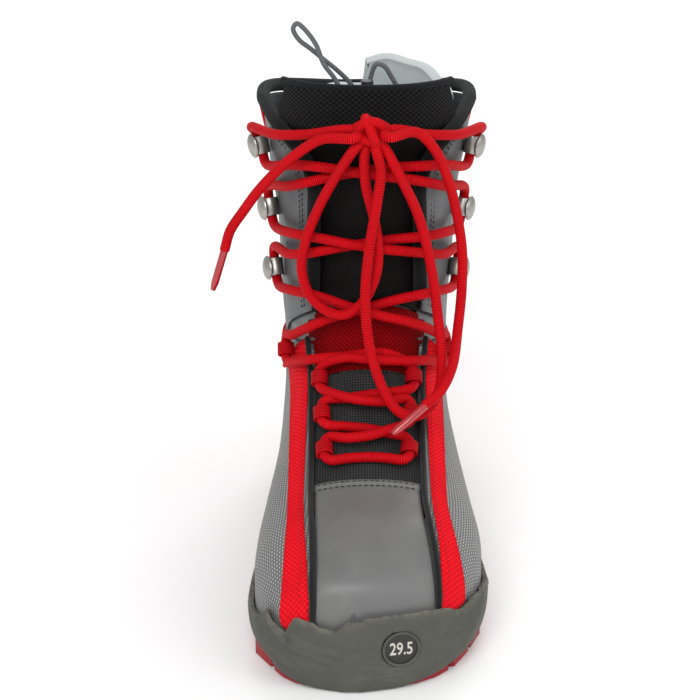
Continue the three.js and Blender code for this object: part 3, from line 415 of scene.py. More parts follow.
def add_tube(bm, uv, route, radii, sides):
    """A closed tube of rings along a route in mm, with its length in V and the way round in U."""
    turn = route[1] - route[0]
    side = turn.orthogonal().normalized()
    rings, reached = [], 0.0
    for k, p in enumerate(route):
        ahead = route[min(k + 1, len(route) - 1)] - route[max(k - 1, 0)]
        side = (side - ahead * (side.dot(ahead) / ahead.length_squared)).normalized()
        other = ahead.normalized().cross(side)
        if k:
            reached += (p - route[k - 1]).length
        ring = []
        for i in range(sides):
            a = 2 * math.pi * i / sides
            ring.append(bm.verts.new((p + (side * math.cos(a) + other * math.sin(a)) * radii[k]) * MM))
        rings.append((ring, reached))
    girth = 2 * math.pi * max(radii)
    for (low, v0), (high, v1) in zip(rings, rings[1:]):
        for i in range(sides):
            j = (i + 1) % sides
            face = bm.faces.new((low[i], low[j], high[j], high[i]))
            corners = ((i, v0), (i + 1, v0), (i + 1, v1), (i, v1))
            for loop, (a, b) in zip(face.loops, corners):
                loop[uv].uv = (girth * a / sides * MM, b * MM)
            face.smooth = True
    for ring, flip in ((rings[0][0], True), (rings[-1][0], False)):
        bm.faces.new(ring[::-1] if flip else ring)


def blank(name):
    mesh = bpy.data.meshes.new(name)
    obj = bpy.data.objects.new(name, mesh)
    bpy.context.scene.collection.objects.link(obj)
    return keep(obj, name)


def tube(name, points, diameter, step=1.4, sides=12, ends=True):
    """A mesh tube on the curve through points in mm. Returns the piece and its route."""
    route = curve_through([Vector(p) for p in points], step)
    radii = [diameter / 2] * len(route)
    if ends:
        first, last = (route[0] - route[1]).normalized(), (route[-1] - route[-2]).normalized()
        for size in (0.94, 0.75, 0.4):
            route = [route[0] + first * END_STEP * diameter, *route, route[-1] + last * END_STEP * diameter]
            radii = [diameter / 2 * size, *radii, diameter / 2 * size]
    bm = bmesh.new()
    add_tube(bm, bm.loops.layers.uv.new("UVMap"), route, radii, sides)
    obj = blank(name)
    bm.to_mesh(obj.data)
    bm.free()
    return obj, route


def stitches(name, seams, pitch=3.1, length=2.2, thread=0.55):
    """Rows of stitches. Each seam is a list of points in mm on the surface that it holds."""
    bm = bmesh.new()
    uv = bm.loops.layers.uv.new("UVMap")
    for seam in seams:
        route = curve_through([Vector(p) for p in seam], 0.4)
        reached, start = 0.0, 0.0
        run = []
        for a, b in zip(route, route[1:]):
            reached += (b - a).length
            if reached >= start:
                run.append(b)
            if reached >= start + length:
                if len(run) > 3:
                    parts = [run[0], run[len(run) // 3], run[2 * len(run) // 3], run[-1]]
                    add_tube(bm, uv, parts, [0.2 * thread, thread / 2, thread / 2, 0.2 * thread], 6)
                start += pitch
                run = []
    obj = blank(name)
    bm.to_mesh(obj.data)
    bm.free()
    return obj


def line_on(at, out, count=24):
    """Points in mm along at(t), which gives [s, phi], at out mm outside the last."""
    return [skin(*at(i / (count - 1)), out) for i in range(count)]


# ---------------------------------------------------------------- finishes
def colour(r, g, b):
    """A colour of 0 to 255 values as linear light."""
    return (*((x / 255 / 12.92 if x < 10.3 else ((x / 255 + 0.055) / 1.055) ** 2.4) for x in (r, g, b)), 1)


class Finish:
    """A material and short ways to add nodes to it. An input that is a socket gets linked."""

    def __init__(self, name, **settings):
        self.material = bpy.data.materials.new(name)
        self.material.use_nodes = True
        self.nodes = self.material.node_tree.nodes
        self.shader = self.nodes["Principled BSDF"]
        for key, value in settings.items():
            self.shader.inputs[key.replace("_", " ")].default_value = value
        where = self.add("TexCoord")
        self.solid = where.outputs["Object"]
        self.cloth = where.outputs["UV"]

    def feed(self, socket, value):
        if isinstance(value, bpy.types.NodeSocket):
            self.material.node_tree.links.new(value, socket)
        else:
            socket.default_value = value

    def add(self, kind, inputs=None, **settings):
        node = self.nodes.new("ShaderNode" + kind)
        for key, value in settings.items():
            setattr(node, key, value)
        for key, value in (inputs or {}).items():
            self.feed(node.inputs[key], value)
        return node

    def math(self, operation, a, b=0.0, clamp=False):
        return self.add("Math", {0: a, 1: b}, operation=operation, use_clamp=clamp).outputs[0]

    def scaled(self, vector, x, y, z=1.0):
        return self.add("Mapping", {"Vector": vector, "Scale": (x, y, z)}).outputs[0]

    def noise(self, vector, scale, detail=3.0, rough=0.55):
        inputs = {"Vector": vector, "Scale": scale, "Detail": detail, "Roughness": rough}
        return self.add("TexNoise", inputs).outputs["Fac"]

    def span(self, value, low, high, to_low=0.0, to_high=1.0):
        return self.add("MapRange", {0: value, 1: low, 2: high, 3: to_low, 4: to_high}).outputs[0]

    def mix(self, a, b, share, blend="MIX"):
        return self.add("Mix", {0: share, 6: a, 7: b}, data_type="RGBA", blend_type=blend).outputs[2]

    def tint(self, base, scale, amount):
        """The colour, lighter and darker in soft patches."""
        level = self.span(self.noise(self.solid, scale), 0.3, 0.7, 1 - amount, 1 + amount)
        grey = self.add("CombineColor", {0: level, 1: level, 2: level}).outputs[0]
        return self.mix(base, grey, 1.0, "MULTIPLY")

    def worn(self, base, edge_colour, amount):
        """The colour, rubbed towards another one along the piece's edges."""
        edge = self.add("Attribute", attribute_name="edge").outputs["Fac"]
        patchy = self.math("MULTIPLY", edge, self.span(self.noise(self.solid, 320.0), 0.35, 0.65))
        return self.mix(base, edge_colour, self.math("MULTIPLY", patchy, amount))

    def ripple(self, x, y):
        """Waves over both coordinates: sin x sin y, from -1 to 1."""
        return self.math("MULTIPLY", self.math("SINE", x), self.math("SINE", y))

    def grid(self, pitch_x, pitch_y):
        """The cloth's coordinates as angles, one turn for each pitch in mm."""
        turn = 2 * math.pi * 1000
        parts = self.add("SeparateXYZ", {0: self.scaled(self.cloth, turn / pitch_x, turn / pitch_y)})
        return parts.outputs[0], parts.outputs[1]

    def weave(self, pitch_x, pitch_y):
        """The height of a plain weave, 0 to 1, whose threads cross once in each pitch."""
        x, y = self.grid(2 * pitch_x, 2 * pitch_y)
        over = self.span(self.ripple(x, y), -0.25, 0.25)
        warp = self.math("ABSOLUTE", self.math("SINE", x))
        weft = self.math("ABSOLUTE", self.math("SINE", y))
        return self.add("Mix", {0: over, 2: warp, 3: weft}, data_type="FLOAT").outputs[0]

    def done(self, base, rough, height=None, depth=0.1, strength=1.0):
        """Sets colour and roughness, and a bump of height times depth mm."""
        self.feed(self.shader.inputs["Base Color"], base)
        self.feed(self.shader.inputs["Roughness"], rough)
        if height is not None:
            inputs = {"Height": height, "Distance": depth * MM, "Strength": strength}
            self.feed(self.shader.inputs["Normal"], self.add("Bump", inputs).outputs[0])
        return self.material


def rubber(name, base, edge, gloss=0.62):
    f = Finish(name, Specular_IOR_Level=0.22)
    grain = f.noise(f.solid, 900.0, 4.0)
    scuff = f.span(f.noise(f.scaled(f.solid, 60, 60, 240), 1.0, 6.0, 0.7), 0.55, 0.75)
    tone = f.mix(f.tint(base, 45.0, 0.07), edge, f.math("MULTIPLY", scuff, 0.35))
    rough = f.span(f.noise(f.solid, 130.0), 0.3, 0.7, gloss - 0.08, gloss + 0.12)
    return f.done(f.worn(tone, edge, 0.75), rough, grain, 0.05)


def leather(name, base, edge, gloss=0.46, grain_size=1400.0):
    f = Finish(name, Specular_IOR_Level=0.45)
    grains = {"Vector": f.solid, "Scale": grain_size}
    cells = f.add("TexVoronoi", grains, feature="SMOOTH_F1").outputs["Distance"]
    crease = f.noise(f.scaled(f.solid, 120, 120, 260), 1.0, 5.0, 0.6)
    height = f.math("ADD", f.math("MULTIPLY", cells, 0.5), f.math("MULTIPLY", crease, 2.2))
    patches = f.span(f.noise(f.solid, 28.0, 4.0, 0.65), 0.42, 0.66)
    tone = f.mix(f.tint(base, 16.0, 0.06), edge, f.math("MULTIPLY", patches, 0.22))
    rough = f.span(f.noise(f.solid, 90.0, 5.0), 0.3, 0.7, gloss - 0.07, gloss + 0.12)
    return f.done(f.worn(tone, edge, 0.5), rough, height, 0.06)


def cloth(name, thread, gap, pitch, depth=0.25, rough=0.85, sheen=0.15, twist=0.08, worn=None):
    """A plain weave of two tones."""
    f = Finish(name, Sheen_Weight=sheen, Sheen_Roughness=0.4, Specular_IOR_Level=0.1)
    height = f.weave(*pitch)
    fuzz = f.noise(f.solid, 2600.0, 2.0)
    tone = f.mix(gap, f.tint(thread, 60.0, twist), f.span(height, 0.25, 0.8))
    tone = f.mix(tone, gap, f.span(fuzz, 0.62, 0.9, 0.0, 0.35))
    if worn:
        tone = f.worn(tone, worn, 0.5)
    return f.done(tone, rough, f.math("ADD", height, f.math("MULTIPLY", fuzz, 0.25)), depth)


def grid_mesh(name):
    """A pale cloth under a fine dark printed grid."""
    f = Finish(name, Sheen_Weight=0.1, Specular_IOR_Level=0.3)
    x, y = f.grid(1.85, 2.2)
    across = f.span(f.math("SINE", x), 0.1, 0.75)
    along = f.span(f.math("SINE", y), -0.35, 0.35)
    pale = f.math("MULTIPLY", across, along)
    threads = f.noise(f.scaled(f.cloth, 3800, 900), 1.0, 2.0)
    light = f.mix(colour(172, 173, 172), colour(200, 200, 198), threads)
    tone = f.mix(f.tint(colour(102, 103, 103), 40.0, 0.06), light, pale)
    tone = f.mix(tone, colour(98, 97, 92), f.span(f.noise(f.solid, 55.0, 5.0, 0.65), 0.6, 0.85, 0.0, 0.35))
    height = f.math("SUBTRACT", f.math("MULTIPLY", threads, 0.3), f.math("MULTIPLY", pale, 1.0))
    return f.done(f.worn(tone, colour(110, 110, 108), 0.5), 0.78, height, 0.16)


def dotted(name, base, hole, pitch, depth=0.5, rough=0.8, sheen=0.2):
    """A knit with staggered rows of small holes."""
    f = Finish(name, Sheen_Weight=sheen, Specular_IOR_Level=0.08)
    x, y = f.grid(*pitch)
    bump = f.span(f.ripple(x, y), -0.45, 0.65)
    fibres = f.noise(f.scaled(f.cloth, 2600, 5200), 1.0, 2.0)
    tone = f.mix(hole, f.tint(base, 70.0, 0.12), bump)
    tone = f.mix(tone, hole, f.span(fibres, 0.6, 0.8, 0.0, 0.4))
    return f.done(tone, rough, f.math("ADD", bump, f.math("MULTIPLY", fibres, 0.3)), depth)


def braid(name, base, groove, pitch, depth, rough=0.62, slant=0.0, sheen=0.12, fine=0.0):
    """A round cord: ribs across it every pitch mm, on a slant or straight."""
    f = Finish(name, Sheen_Weight=sheen, Specular_IOR_Level=0.1)
    turn = 2 * math.pi * 1000
    parts = f.add("SeparateXYZ", {0: f.scaled(f.cloth, turn * slant / pitch, turn / pitch)})
    wave = f.math("SINE", f.math("ADD", parts.outputs[0], parts.outputs[1]))
    rib = f.span(wave, -0.9, 0.5)
    fibre = f.noise(f.scaled(f.cloth, 5200, 900), 1.0, 2.0)
    tone = f.mix(groove, f.tint(base, 35.0, 0.07), rib)
    tone = f.mix(tone, groove, f.span(fibre, 0.55, 0.85, 0.0, 0.3 + fine))
    return f.done(tone, rough, f.math("ADD", rib, f.math("MULTIPLY", fibre, 0.3)), depth)


def metal(name, base, rough=0.34):
    f = Finish(name, Metallic=1.0, Anisotropic=0.3)
    brush = f.noise(f.scaled(f.solid, 500, 500, 6000), 1.0, 3.0)
    tint = f.tint(base, 220.0, 0.12)
    scuffs = f.span(f.noise(f.solid, 500.0, 5.0), 0.6, 0.8, 0.0, 0.5)
    tone = f.mix(tint, colour(96, 94, 90), scuffs)
    return f.done(tone, f.span(brush, 0.2, 0.8, rough - 0.06, rough + 0.12), brush, 0.02)


def moulded(name, base, rough=0.45, coat=0.0, light=None):
    f = Finish(name, Specular_IOR_Level=0.45, Coat_Weight=coat, Coat_Roughness=0.08)
    grain = f.noise(f.solid, 2200.0, 2.0)
    tint = f.tint(base, 120.0, 0.1)
    wear = f.span(f.noise(f.solid, 300.0, 5.0), 0.6, 0.8, 0.0, 0.5)
    tone = f.mix(tint, light or base, wear)
    return f.done(tone, f.span(grain, 0.2, 0.8, rough - 0.06, rough + 0.1), grain, 0.03)


def fleece(name, base, shade):
    f = Finish(name, Sheen_Weight=0.45, Sheen_Roughness=0.5, Specular_IOR_Level=0.15)
    pile = f.noise(f.solid, 1500.0, 4.0, 0.7)
    soft = f.noise(f.solid, 55.0, 3.0)
    tone = f.mix(f.tint(base, 30.0, 0.05), shade, f.span(pile, 0.45, 0.85, 0.0, 0.6))
    height = f.math("ADD", pile, f.math("MULTIPLY", soft, 2.5))
    return f.done(tone, 0.95, height, 0.35)


FINISHES = {
    "rand_rubber": rubber("rand_rubber", colour(80, 81, 75), colour(120, 117, 105)),
    "outsole_rubber": rubber("outsole_rubber", colour(160, 42, 50), colour(196, 92, 92), 0.55),
    "foam_black": moulded("foam_black", colour(34, 34, 36), 0.9),
    "shank_steel": metal("shank_steel", colour(150, 150, 150)),
    "insole_board": moulded("insole_board", colour(150, 138, 116), 0.85, light=colour(170, 160, 140)),
    "stiffener": moulded("stiffener", colour(40, 41, 43), 0.55),
    "badge": moulded("badge", colour(44, 44, 41), 0.5, light=colour(60, 60, 55)),
    "badge_figures": moulded("badge_figures", colour(196, 194, 184), 0.6, light=colour(150, 148, 138)),
    "toe_leather": leather("toe_leather", colour(102, 103, 102), colour(132, 132, 130), 0.42),
    "cuff_leather": leather("cuff_leather", colour(90, 94, 96), colour(118, 121, 121), 0.48),
    "side_mesh": grid_mesh("side_mesh"),
    "red_weave": dotted("red_weave", colour(238, 24, 40), colour(206, 10, 24), (2.7, 3.0), 0.35, sheen=0.0),
    "piping": cloth("piping", colour(40, 40, 42), colour(14, 14, 14), (0.7, 0.8), 0.2, 0.8),
    "tongue_weave": cloth(
        "tongue_weave", colour(62, 63, 63), colour(18, 18, 18), (1.5, 1.5), 0.45, 0.8, 0.05, 0.2
    ),
    "red_mesh": dotted("red_mesh", colour(158, 1, 9), colour(104, 0, 4), (2.6, 2.6), sheen=0.0),
    "tongue_nylon": cloth("tongue_nylon", colour(19, 17, 17), colour(4, 4, 4), (1.3, 1.3), 0.3, 0.5, 0.0),
    "spacer_mesh": dotted("spacer_mesh", colour(30, 30, 30), colour(6, 6, 6), (3.4, 3.0), 0.7, sheen=0.05),
    "binding": cloth("binding", colour(30, 32, 34), colour(8, 8, 9), (0.9, 0.75), 0.3, 0.85, 0.08),
    "webbing": braid("webbing", colour(34, 34, 35), colour(8, 8, 8), 0.9, 0.3),
    "loop_webbing": braid("loop_webbing", colour(206, 8, 22), colour(112, 1, 8), 0.9, 0.25, sheen=0.0),
    "liner_fleece": fleece("liner_fleece", colour(190, 196, 196), colour(150, 158, 160)),
    "hook_steel": metal("hook_steel", colour(168, 166, 160)),
    "lace": braid("lace", colour(226, 8, 24), colour(140, 1, 8), 0.86, 0.26, sheen=0.0),
    "aglet": moulded("aglet", colour(164, 12, 24), 0.28, 1.0, colour(196, 60, 66)),
    "lock_plastic": moulded("lock_plastic", colour(30, 30, 32), 0.42),
    "draw_cord": braid("draw_cord", colour(112, 114, 117), colour(66, 68, 71), 0.7, 0.1, 0.6, 0.45),
    "black_thread": braid("black_thread", colour(26, 24, 24), colour(6, 6, 6), 0.4, 0.05, 0.75, 0.5),
    "red_thread": braid("red_thread", colour(190, 16, 30), colour(110, 6, 14), 0.4, 0.05, 0.75, 0.5),
}


def dress(obj, finish, slot=None):
    obj.data.materials.clear()
    obj.data.materials.append(FINISHES[finish])
    slot or finish


def across_ankle(obj):
    """A piece that lies between the foot and the cuff in front of the ankle; its transform is baked into its
    mesh.
    """
    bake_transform(obj)


# ---------------------------------------------------------------- camera, light and floor
def make_stage():
    scene = bpy.context.scene
    scene.view_settings.view_transform = "Standard"
    lens = bpy.data.cameras.new("camera")
    lens.sensor_width = 36
    lens.lens = 114.05
    camera = bpy.data.objects.new("camera", lens)
    camera.location = (-0.00909, -1.15614, 0.54778)
    camera.rotation_euler = (math.radians(70), 0, 0)
    scene.collection.objects.link(camera)
    scene.camera = camera

    world = bpy.data.worlds.new("studio")
    world.use_nodes = True
    world.node_tree.nodes["Background"].inputs[0].default_value = (1, 1, 1, 1)
    world.node_tree.nodes["Background"].inputs[1].default_value = 0.62
    scene.world = world
    for name, place, size, power in (
        ("key", (-0.35, -2.0, 1.7), 1.2, 34),
        ("fill", (1.5, -1.0, 1.3), 1.6, 9),
        ("back", (0.3, 1.7, 1.7), 1.8, 22),
    ):
        light = bpy.data.lights.new(name, "AREA")
        light.size = size
        light.energy = power
        lamp = bpy.data.objects.new(name, light)
        lamp.location = place
        lamp.rotation_euler = (Vector((0, 0, 0.12)) - lamp.location).to_track_quat("-Z", "Y").to_euler()
        scene.collection.objects.link(lamp)

    bpy.ops.mesh.primitive_plane_add(size=14, location=(0, 0, -0.0004))
    floor = bpy.context.object
    floor.name = "floor"
    bpy.ops.object.transform_apply()
    f = Finish("floor", Specular_IOR_Level=0.1)
    tone = f.span(f.noise(f.solid, 4.0), 0.3, 0.7, 0.93, 0.96)
    f.done(f.add("CombineColor", {0: tone, 1: tone, 2: tone}).outputs[0], 0.9)
    floor.data.materials.append(f.material)


# ---------------------------------------------------------------- the lace and the draw cord
HOOK_Z = (238, 201, 165)
HOOK_ANGLE = (69, 68, 67)
ANKLE_GUIDE = (7.62, 52)
LOOP_STATIONS = (6.55, 5.75, 4.95)
LACE_HEIGHT = HOOK_METAL + GAP + HOOK_BORE_R
TONGUE_OUT = -PANEL - 1
ON_TONGUE = TONGUE_OUT + LACE_D / 2 + 1
OVER = ON_TONGUE + LACE_D + 1.4
ON_COLLAR = TONGUE_OUT + 2 * COLLAR_R + 0.8 + GAP + LACE_D / 2 + 1.1
ON_PIPING = 2 * PIPING_R + GAP + LACE_D / 2 + 1.5
EDGE = THROAT_HALF_SHAFT - 0.5
IN_LOOP = LACE_D / 2 + 0.7 + LOOP_WALL + GAP
ANKLE_RISE = 9
SHAFT_RISE = (14, 10, 15)
KNOT_SIZE = (8.5, 6.5, 7.5)
KNOT_CORE_D = 8.5


def hook_place(side, i):
    phi = side * HOOK_ANGLE[i]
    return place_at(solve(lambda s: skin(s, phi).z - HOOK_Z[i], 8, 12.9), phi)


def guide_place(side, i):
    """The ankle's guide loop is 0, and the loops down the foot follow."""
    if i == 0:
        return place_at(ANKLE_GUIDE[0], side * ANKLE_GUIDE[1], GAP + OVERLAY)
    s = LOOP_STATIONS[i - 1]
    return place_at(s, angle_at_x(s, throat_half(s), side) - side * 7, 0)


HOOK_PLACES = {(side, i): hook_place(side, i) for _, side in SIDES for i in range(3)}
GUIDE_PLACES = {(side, i): guide_place(side, i) for _, side in SIDES for i in range(4)}


def front_point(x, z, lift):
    """A point in front of the throat, x across, z up and lift mm outside the last."""
    side = -1 if x < 0 else 1

    def angle(t):
        return side * solve(lambda a: abs(skin(t, side * a, lift).x) - abs(x), 0, 88)

    s = solve(lambda t: skin(t, angle(t), lift).z - z, 3, 12.99)
    return skin(s, angle(s), lift)


def through(place, height, half, reach):
    """The lace through a hook or a loop, from below to above it."""
    return [
        off(place, height, -reach, -half - reach - 1),
        off(place, height, 0, -half - 0.5),
        off(place, height, 0, half + 0.5),
        off(place, height, -reach, half + reach + 1),
    ]


def strand(start, end, lifts, bow):
    """A strand from one side to the other, bowed up. lifts lists x, positive on the first side, and
    the height of the lace's middle above the last."""
    side = math.copysign(1, start.x)
    points = []
    for x, lift in lifts:
        share = (start.x - side * x) / (start.x - end.x)
        z = lerp(start.z, end.z, share) + bow * (1 - (2 * share - 1) ** 4)
        points.append(front_point(side * x, z, lift))
    return points


def mirrored(lifts):
    return [*lifts, *((-x, lift) for x, lift in lifts[-2::-1])]


def foot_strand(mid):
    return mirrored([(0.38 * THROAT_HALF, lerp(mid, IN_LOOP, 0.35)), (0, mid)])


def to_ankle(mid):
    return [*foot_strand(mid), (-0.8 * EDGE, lerp(mid, ON_PIPING, 0.7)), (-EDGE - 1, ON_PIPING)]


def from_ankle(mid):
    return [(-x, lift) for x, lift in to_ankle(mid)][::-1]


def shaft_strand(mid):
    return mirrored([
        (1.36 * EDGE, ON_COLLAR), (EDGE, ON_COLLAR + 0.4), (0.66 * EDGE, max(mid + 0.4, ON_COLLAR - 3.6)),
        (EDGE / 3, mid + 0.4), (0, mid),
    ])


KNOT = front_point(2, 261, 15)


def knot_port(angle, lean, reach):
    """Where a strand meets the knot: an angle in the front view and a lean to the front, in degrees."""
    a, b = math.radians(angle), math.radians(lean)
    way = Vector((math.cos(a) * math.cos(b), -math.sin(b), math.sin(a) * math.cos(b)))
    radius = 1 / math.hypot(*(w / r for w, r in zip(way, KNOT_SIZE)))
    return KNOT + way * (radius + reach)


def hanging(x, z, lift):
    return Vector((x, front_point(min(max(x, -26), 26), z, lift).y, z))


def tied(start, points, end=None):
    route = [knot_port(*start, 0.7), knot_port(*start, 4.5), *(hanging(*p) for p in points)]
    return [*route, knot_port(*end, 4.5), knot_port(*end, 0.7)] if end else route


LOOP_LEFT = (
    (-16, 236, 15), (-26, 216, 15), (-33, 197, 15), (-35, 182, 15), (-31, 168, 15), (-22, 160, 15),
    (-12, 159, 15), (-3, 165, 15), (4, 178, 15), (6, 192, 15), (4, 210, 15), (-1, 232, 15),
)
LOOP_RIGHT = (
    (17, 237, 22), (27, 214, 21), (34, 186, 21), (38, 158, 20), (40, 138, 19), (38, 123, 18), (31, 114, 16),
    (23, 112, 15), (16, 115, 15), (9, 124, 16), (2, 142, 18), (-1, 168, 22), (1, 196, 22), (5, 222, 22),
    (7, 240, 20),
)
END_LEFT = ((-24, 256, 17), (-40, 245, 17), (-56, 228, 15), (-66, 214, 14), (-73, 203, 13), (-76, 193, 13))
END_RIGHT = (
    (25, 260, 17), (35, 250, 15), (43, 231, 13), (48, 211, 12), (51, 191, 12), (51, 169, 13), (49, 150, 15),
    (45, 136, 25), (38, 127, 29), (31, 122, 29),
)
LOCK_PLACE = Vector((0, CUFF_FRONT_Y + 14.8, CUFF_HEIGHT - 10))
DRAW_CORD = (
    (20, 3.2, -20), (18, 0.2, -12), (13, 0, -4), (9, 0, 0), (0, 0, 0), (-9, 0, 0), (-13, 0.2, 4),
    (-17, 1.2, 12), (-23, 2.2, 20), (-27, 3.2, 30), (-33, 4.2, 38), (-37, 4.2, 41), (-39, 5.2, 38),
    (-36, 6.2, 32), (-30, 7.2, 27), (-23, 8.2, 21), (-16, 9.2, 15), (-9, 9.2, 8), (-4, 10.2, 0),
    (-1, 11.2, -4), (1, 11.2, 0),
    (2, 11.2, 11), (5, 10.2, 18), (9, 10.2, 17), (13, 10.2, 11), (18, 11.2, 2), (23, 12.2, -8),
)


def declare(obj, route):
    path = [p * MM for p in (*route[:-1:2], route[-1])]
    length = sum((b - a).length for a, b in zip(path, path[1:]))
    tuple(path[0])


def make_aglet(name, tip, way):
    """A crimped clear sleeve over the lace's end, drawn along Z and then laid along the lace."""
    bpy.ops.mesh.primitive_cylinder_add(vertices=20, radius=AGLET_D / 2 * MM, depth=AGLET_LENGTH * MM)
    obj = keep(bpy.context.object, name)
    bpy.ops.object.mode_set(mode="EDIT")
    mesh = bmesh.from_edit_mesh(obj.data)
    bmesh.ops.bisect_plane(mesh, geom=[*mesh.verts, *mesh.edges, *mesh.faces], plane_no=(0, 0, 1),
                           plane_co=(0, 0, 0.32 * AGLET_LENGTH * MM))
    bmesh.ops.bisect_plane(mesh, geom=[*mesh.verts, *mesh.edges, *mesh.faces], plane_no=(0, 0, 1),
                           plane_co=(0, 0, -0.42 * AGLET_LENGTH * MM))
    for v in mesh.verts:
        taper = smooth(v.co.z / MM, 0.3 * AGLET_LENGTH, 0.5 * AGLET_LENGTH)
        v.co.x *= 1 - 0.3 * taper
        v.co.y *= 0.86 - 0.3 * taper
    bmesh.update_edit_mesh(obj.data)
    bpy.ops.object.mode_set(mode="OBJECT")
    modifier(obj, "BEVEL", width=0.5 * MM, segments=3, limit_method="ANGLE", angle_limit=math.radians(50))
    turn = way.to_track_quat("Z", "Y").to_matrix().to_4x4()
    obj.data.transform(Matrix.Translation((tip + way * (GAP + AGLET_LENGTH / 2)) * MM) @ turn)
    smooth_shade(obj)
    dress(obj, "aglet")
    return obj


def make_cords():
    """The bow's two loops, the two free ends and the liner's draw cord."""
    for name, start, points, end in (
        ("left", (226, 12), LOOP_LEFT, (254, 0)), ("right", (308, 8), LOOP_RIGHT, (285, 22)),
    ):
        obj, route = tube(f"bow_loop_{name}_cord", tied(start, points, end), LACE_D, step=1.2, sides=16)
        dress(obj, "lace")
        across_ankle(obj)
        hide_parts(f"bow_loop_{name}")
        declare(obj, route[3:-3])
    for name, start, points in (("left", (194, 34), END_LEFT), ("right", (350, 36), END_RIGHT)):
        points = tied(start, points)
        obj, route = tube(f"lace_end_{name}_cord", points, LACE_D, step=1.2, sides=16)
        dress(obj, "lace")
        way = (points[-1] - points[-2]).normalized()
        aglet = make_aglet(f"aglet_{name}_sleeve", points[-1], way)
        for piece in (obj, aglet):
            if name == "right":
                across_ankle(piece)
            else:
                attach(piece, "cuff")
        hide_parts(f"lace_end_{name}")
        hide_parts(f"aglet_{name}")
        declare(obj, route[3:-3])
    points = [LOCK_PLACE + Vector(p) for p in DRAW_CORD]
    obj, route = tube("draw_cord_line", points, CORD_D, step=0.9, sides=12)
    dress(obj, "draw_cord")
    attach(obj, "cuff")
    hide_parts("draw_cord")
    declare(obj, route[3:-3])


def make_lace():
    """The lace from the ankle over the foot, and its two halves up the shaft to the knot."""
    half = HOOK_HEIGHT / 2

    def guide(side, i):
        return through(GUIDE_PLACES[side, i], IN_LOOP, LOOP_WIDTH / 2, 3)

    def centre(side, up):
        return off(GUIDE_PLACES[side, 0], IN_LOOP, 0, up)

    route = [centre(1, -GAP), *guide(1, 0)[1::-1]]
    for stop, lifts, bow in (
        (guide(-1, 1)[::-1], from_ankle(OVER), ANKLE_RISE), (guide(1, 2)[::-1], foot_strand(OVER), 0),
        (guide(-1, 3)[::-1], foot_strand(OVER), 0), (guide(1, 3), foot_strand(ON_TONGUE + 1), 0),
        (guide(-1, 2), foot_strand(ON_TONGUE), 0), (guide(1, 1), foot_strand(ON_TONGUE), 0),
        ([*guide(-1, 0)[:2], centre(-1, -GAP)], to_ankle(ON_TONGUE), ANKLE_RISE),
    ):
        route += [*strand(route[-1], stop[0], lifts, bow), *stop]
    obj, _ = tube("foot_lace", route, LACE_D, step=1.2, sides=16, ends=False)
    dress(obj, "lace")
    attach(obj, "foot")
    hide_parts("lace_foot")

    for side, name, mids in ((1, "a", (OVER, ON_TONGUE, OVER)), (-1, "b", (ON_TONGUE, OVER, ON_TONGUE))):
        path = [centre(side, GAP), *guide(side, 0)[2:]]
        for leg, (at, i) in enumerate(((-side, 2), (side, 1), (-side, 0))):
            stop = through(HOOK_PLACES[at, i], LACE_HEIGHT, half, 4.5)
            if leg == 2:
                stop[3] = off(HOOK_PLACES[at, i], ON_COLLAR, -3.5, half + 5.5)
            path += [*strand(path[-1], stop[0], shaft_strand(mids[leg]), SHAFT_RISE[leg]), *stop]
        tail = path[-1]
        for x, lift in ((1.6 * EDGE, ON_COLLAR + 1), (1.3 * EDGE, ON_COLLAR + 0.8), (EDGE, ON_COLLAR + 0.4)):
            share = (abs(tail.x) - x) / abs(tail.x)
            path.append(front_point(math.copysign(x, tail.x), lerp(tail.z, KNOT.z, share**0.7), lift))
        angle = 180 if side > 0 else 0
        path += [knot_port(angle, -8, 6), knot_port(angle, -8, -2.5)]
        obj, _ = tube(f"shaft_lace_{name}", path, LACE_D, step=1.2, sides=16, ends=False)
        dress(obj, "lace")
        across_ankle(obj)
        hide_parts(f"lace_shaft_{name}")


def make_knot():
    """A wrap round a core, with the strand that crosses its front."""
    middle = ((-7, 1, 0), (-3, 0, 2), (3, 0, 2), (7, 1, 0))
    core, _ = tube("knot_core", [KNOT + Vector(p) for p in middle], KNOT_CORE_D)
    wraps = (
        ((-5.5, 2, -4), (-6.5, -2, 1), (-2.5, -4.5, 5.5), (3, -4, 5), (6, -1, 1), (5, 2.5, -3)),
        ((-2.5, 3, 5.5), (-3, -1.5, 6.5), (-1, -5.8, 3), (1, -6.6, -2), (2.5, -3.5, -6.5), (2.5, 1, -7)),
        ((-7, 0, -2), (-3, -3.5, -4), (2, -3.5, -5), (7, 0, -1.5)),
    )
    for i, points in enumerate(wraps):
        strand = [KNOT + Vector(p) for p in points]
        wrap_piece, _ = tube(f"knot_wrap_{i + 1}", strand, LACE_D, step=0.8, sides=16)
        dress(wrap_piece, "lace")
        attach(wrap_piece, "cuff")
    dress(core, "lace")
    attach(core, "cuff")
    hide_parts("lace_knot")


# ---------------------------------------------------------------- sole and rand
BADGE_RING_R = 9.1
BADGE_RING_WIRE_R = 0.75
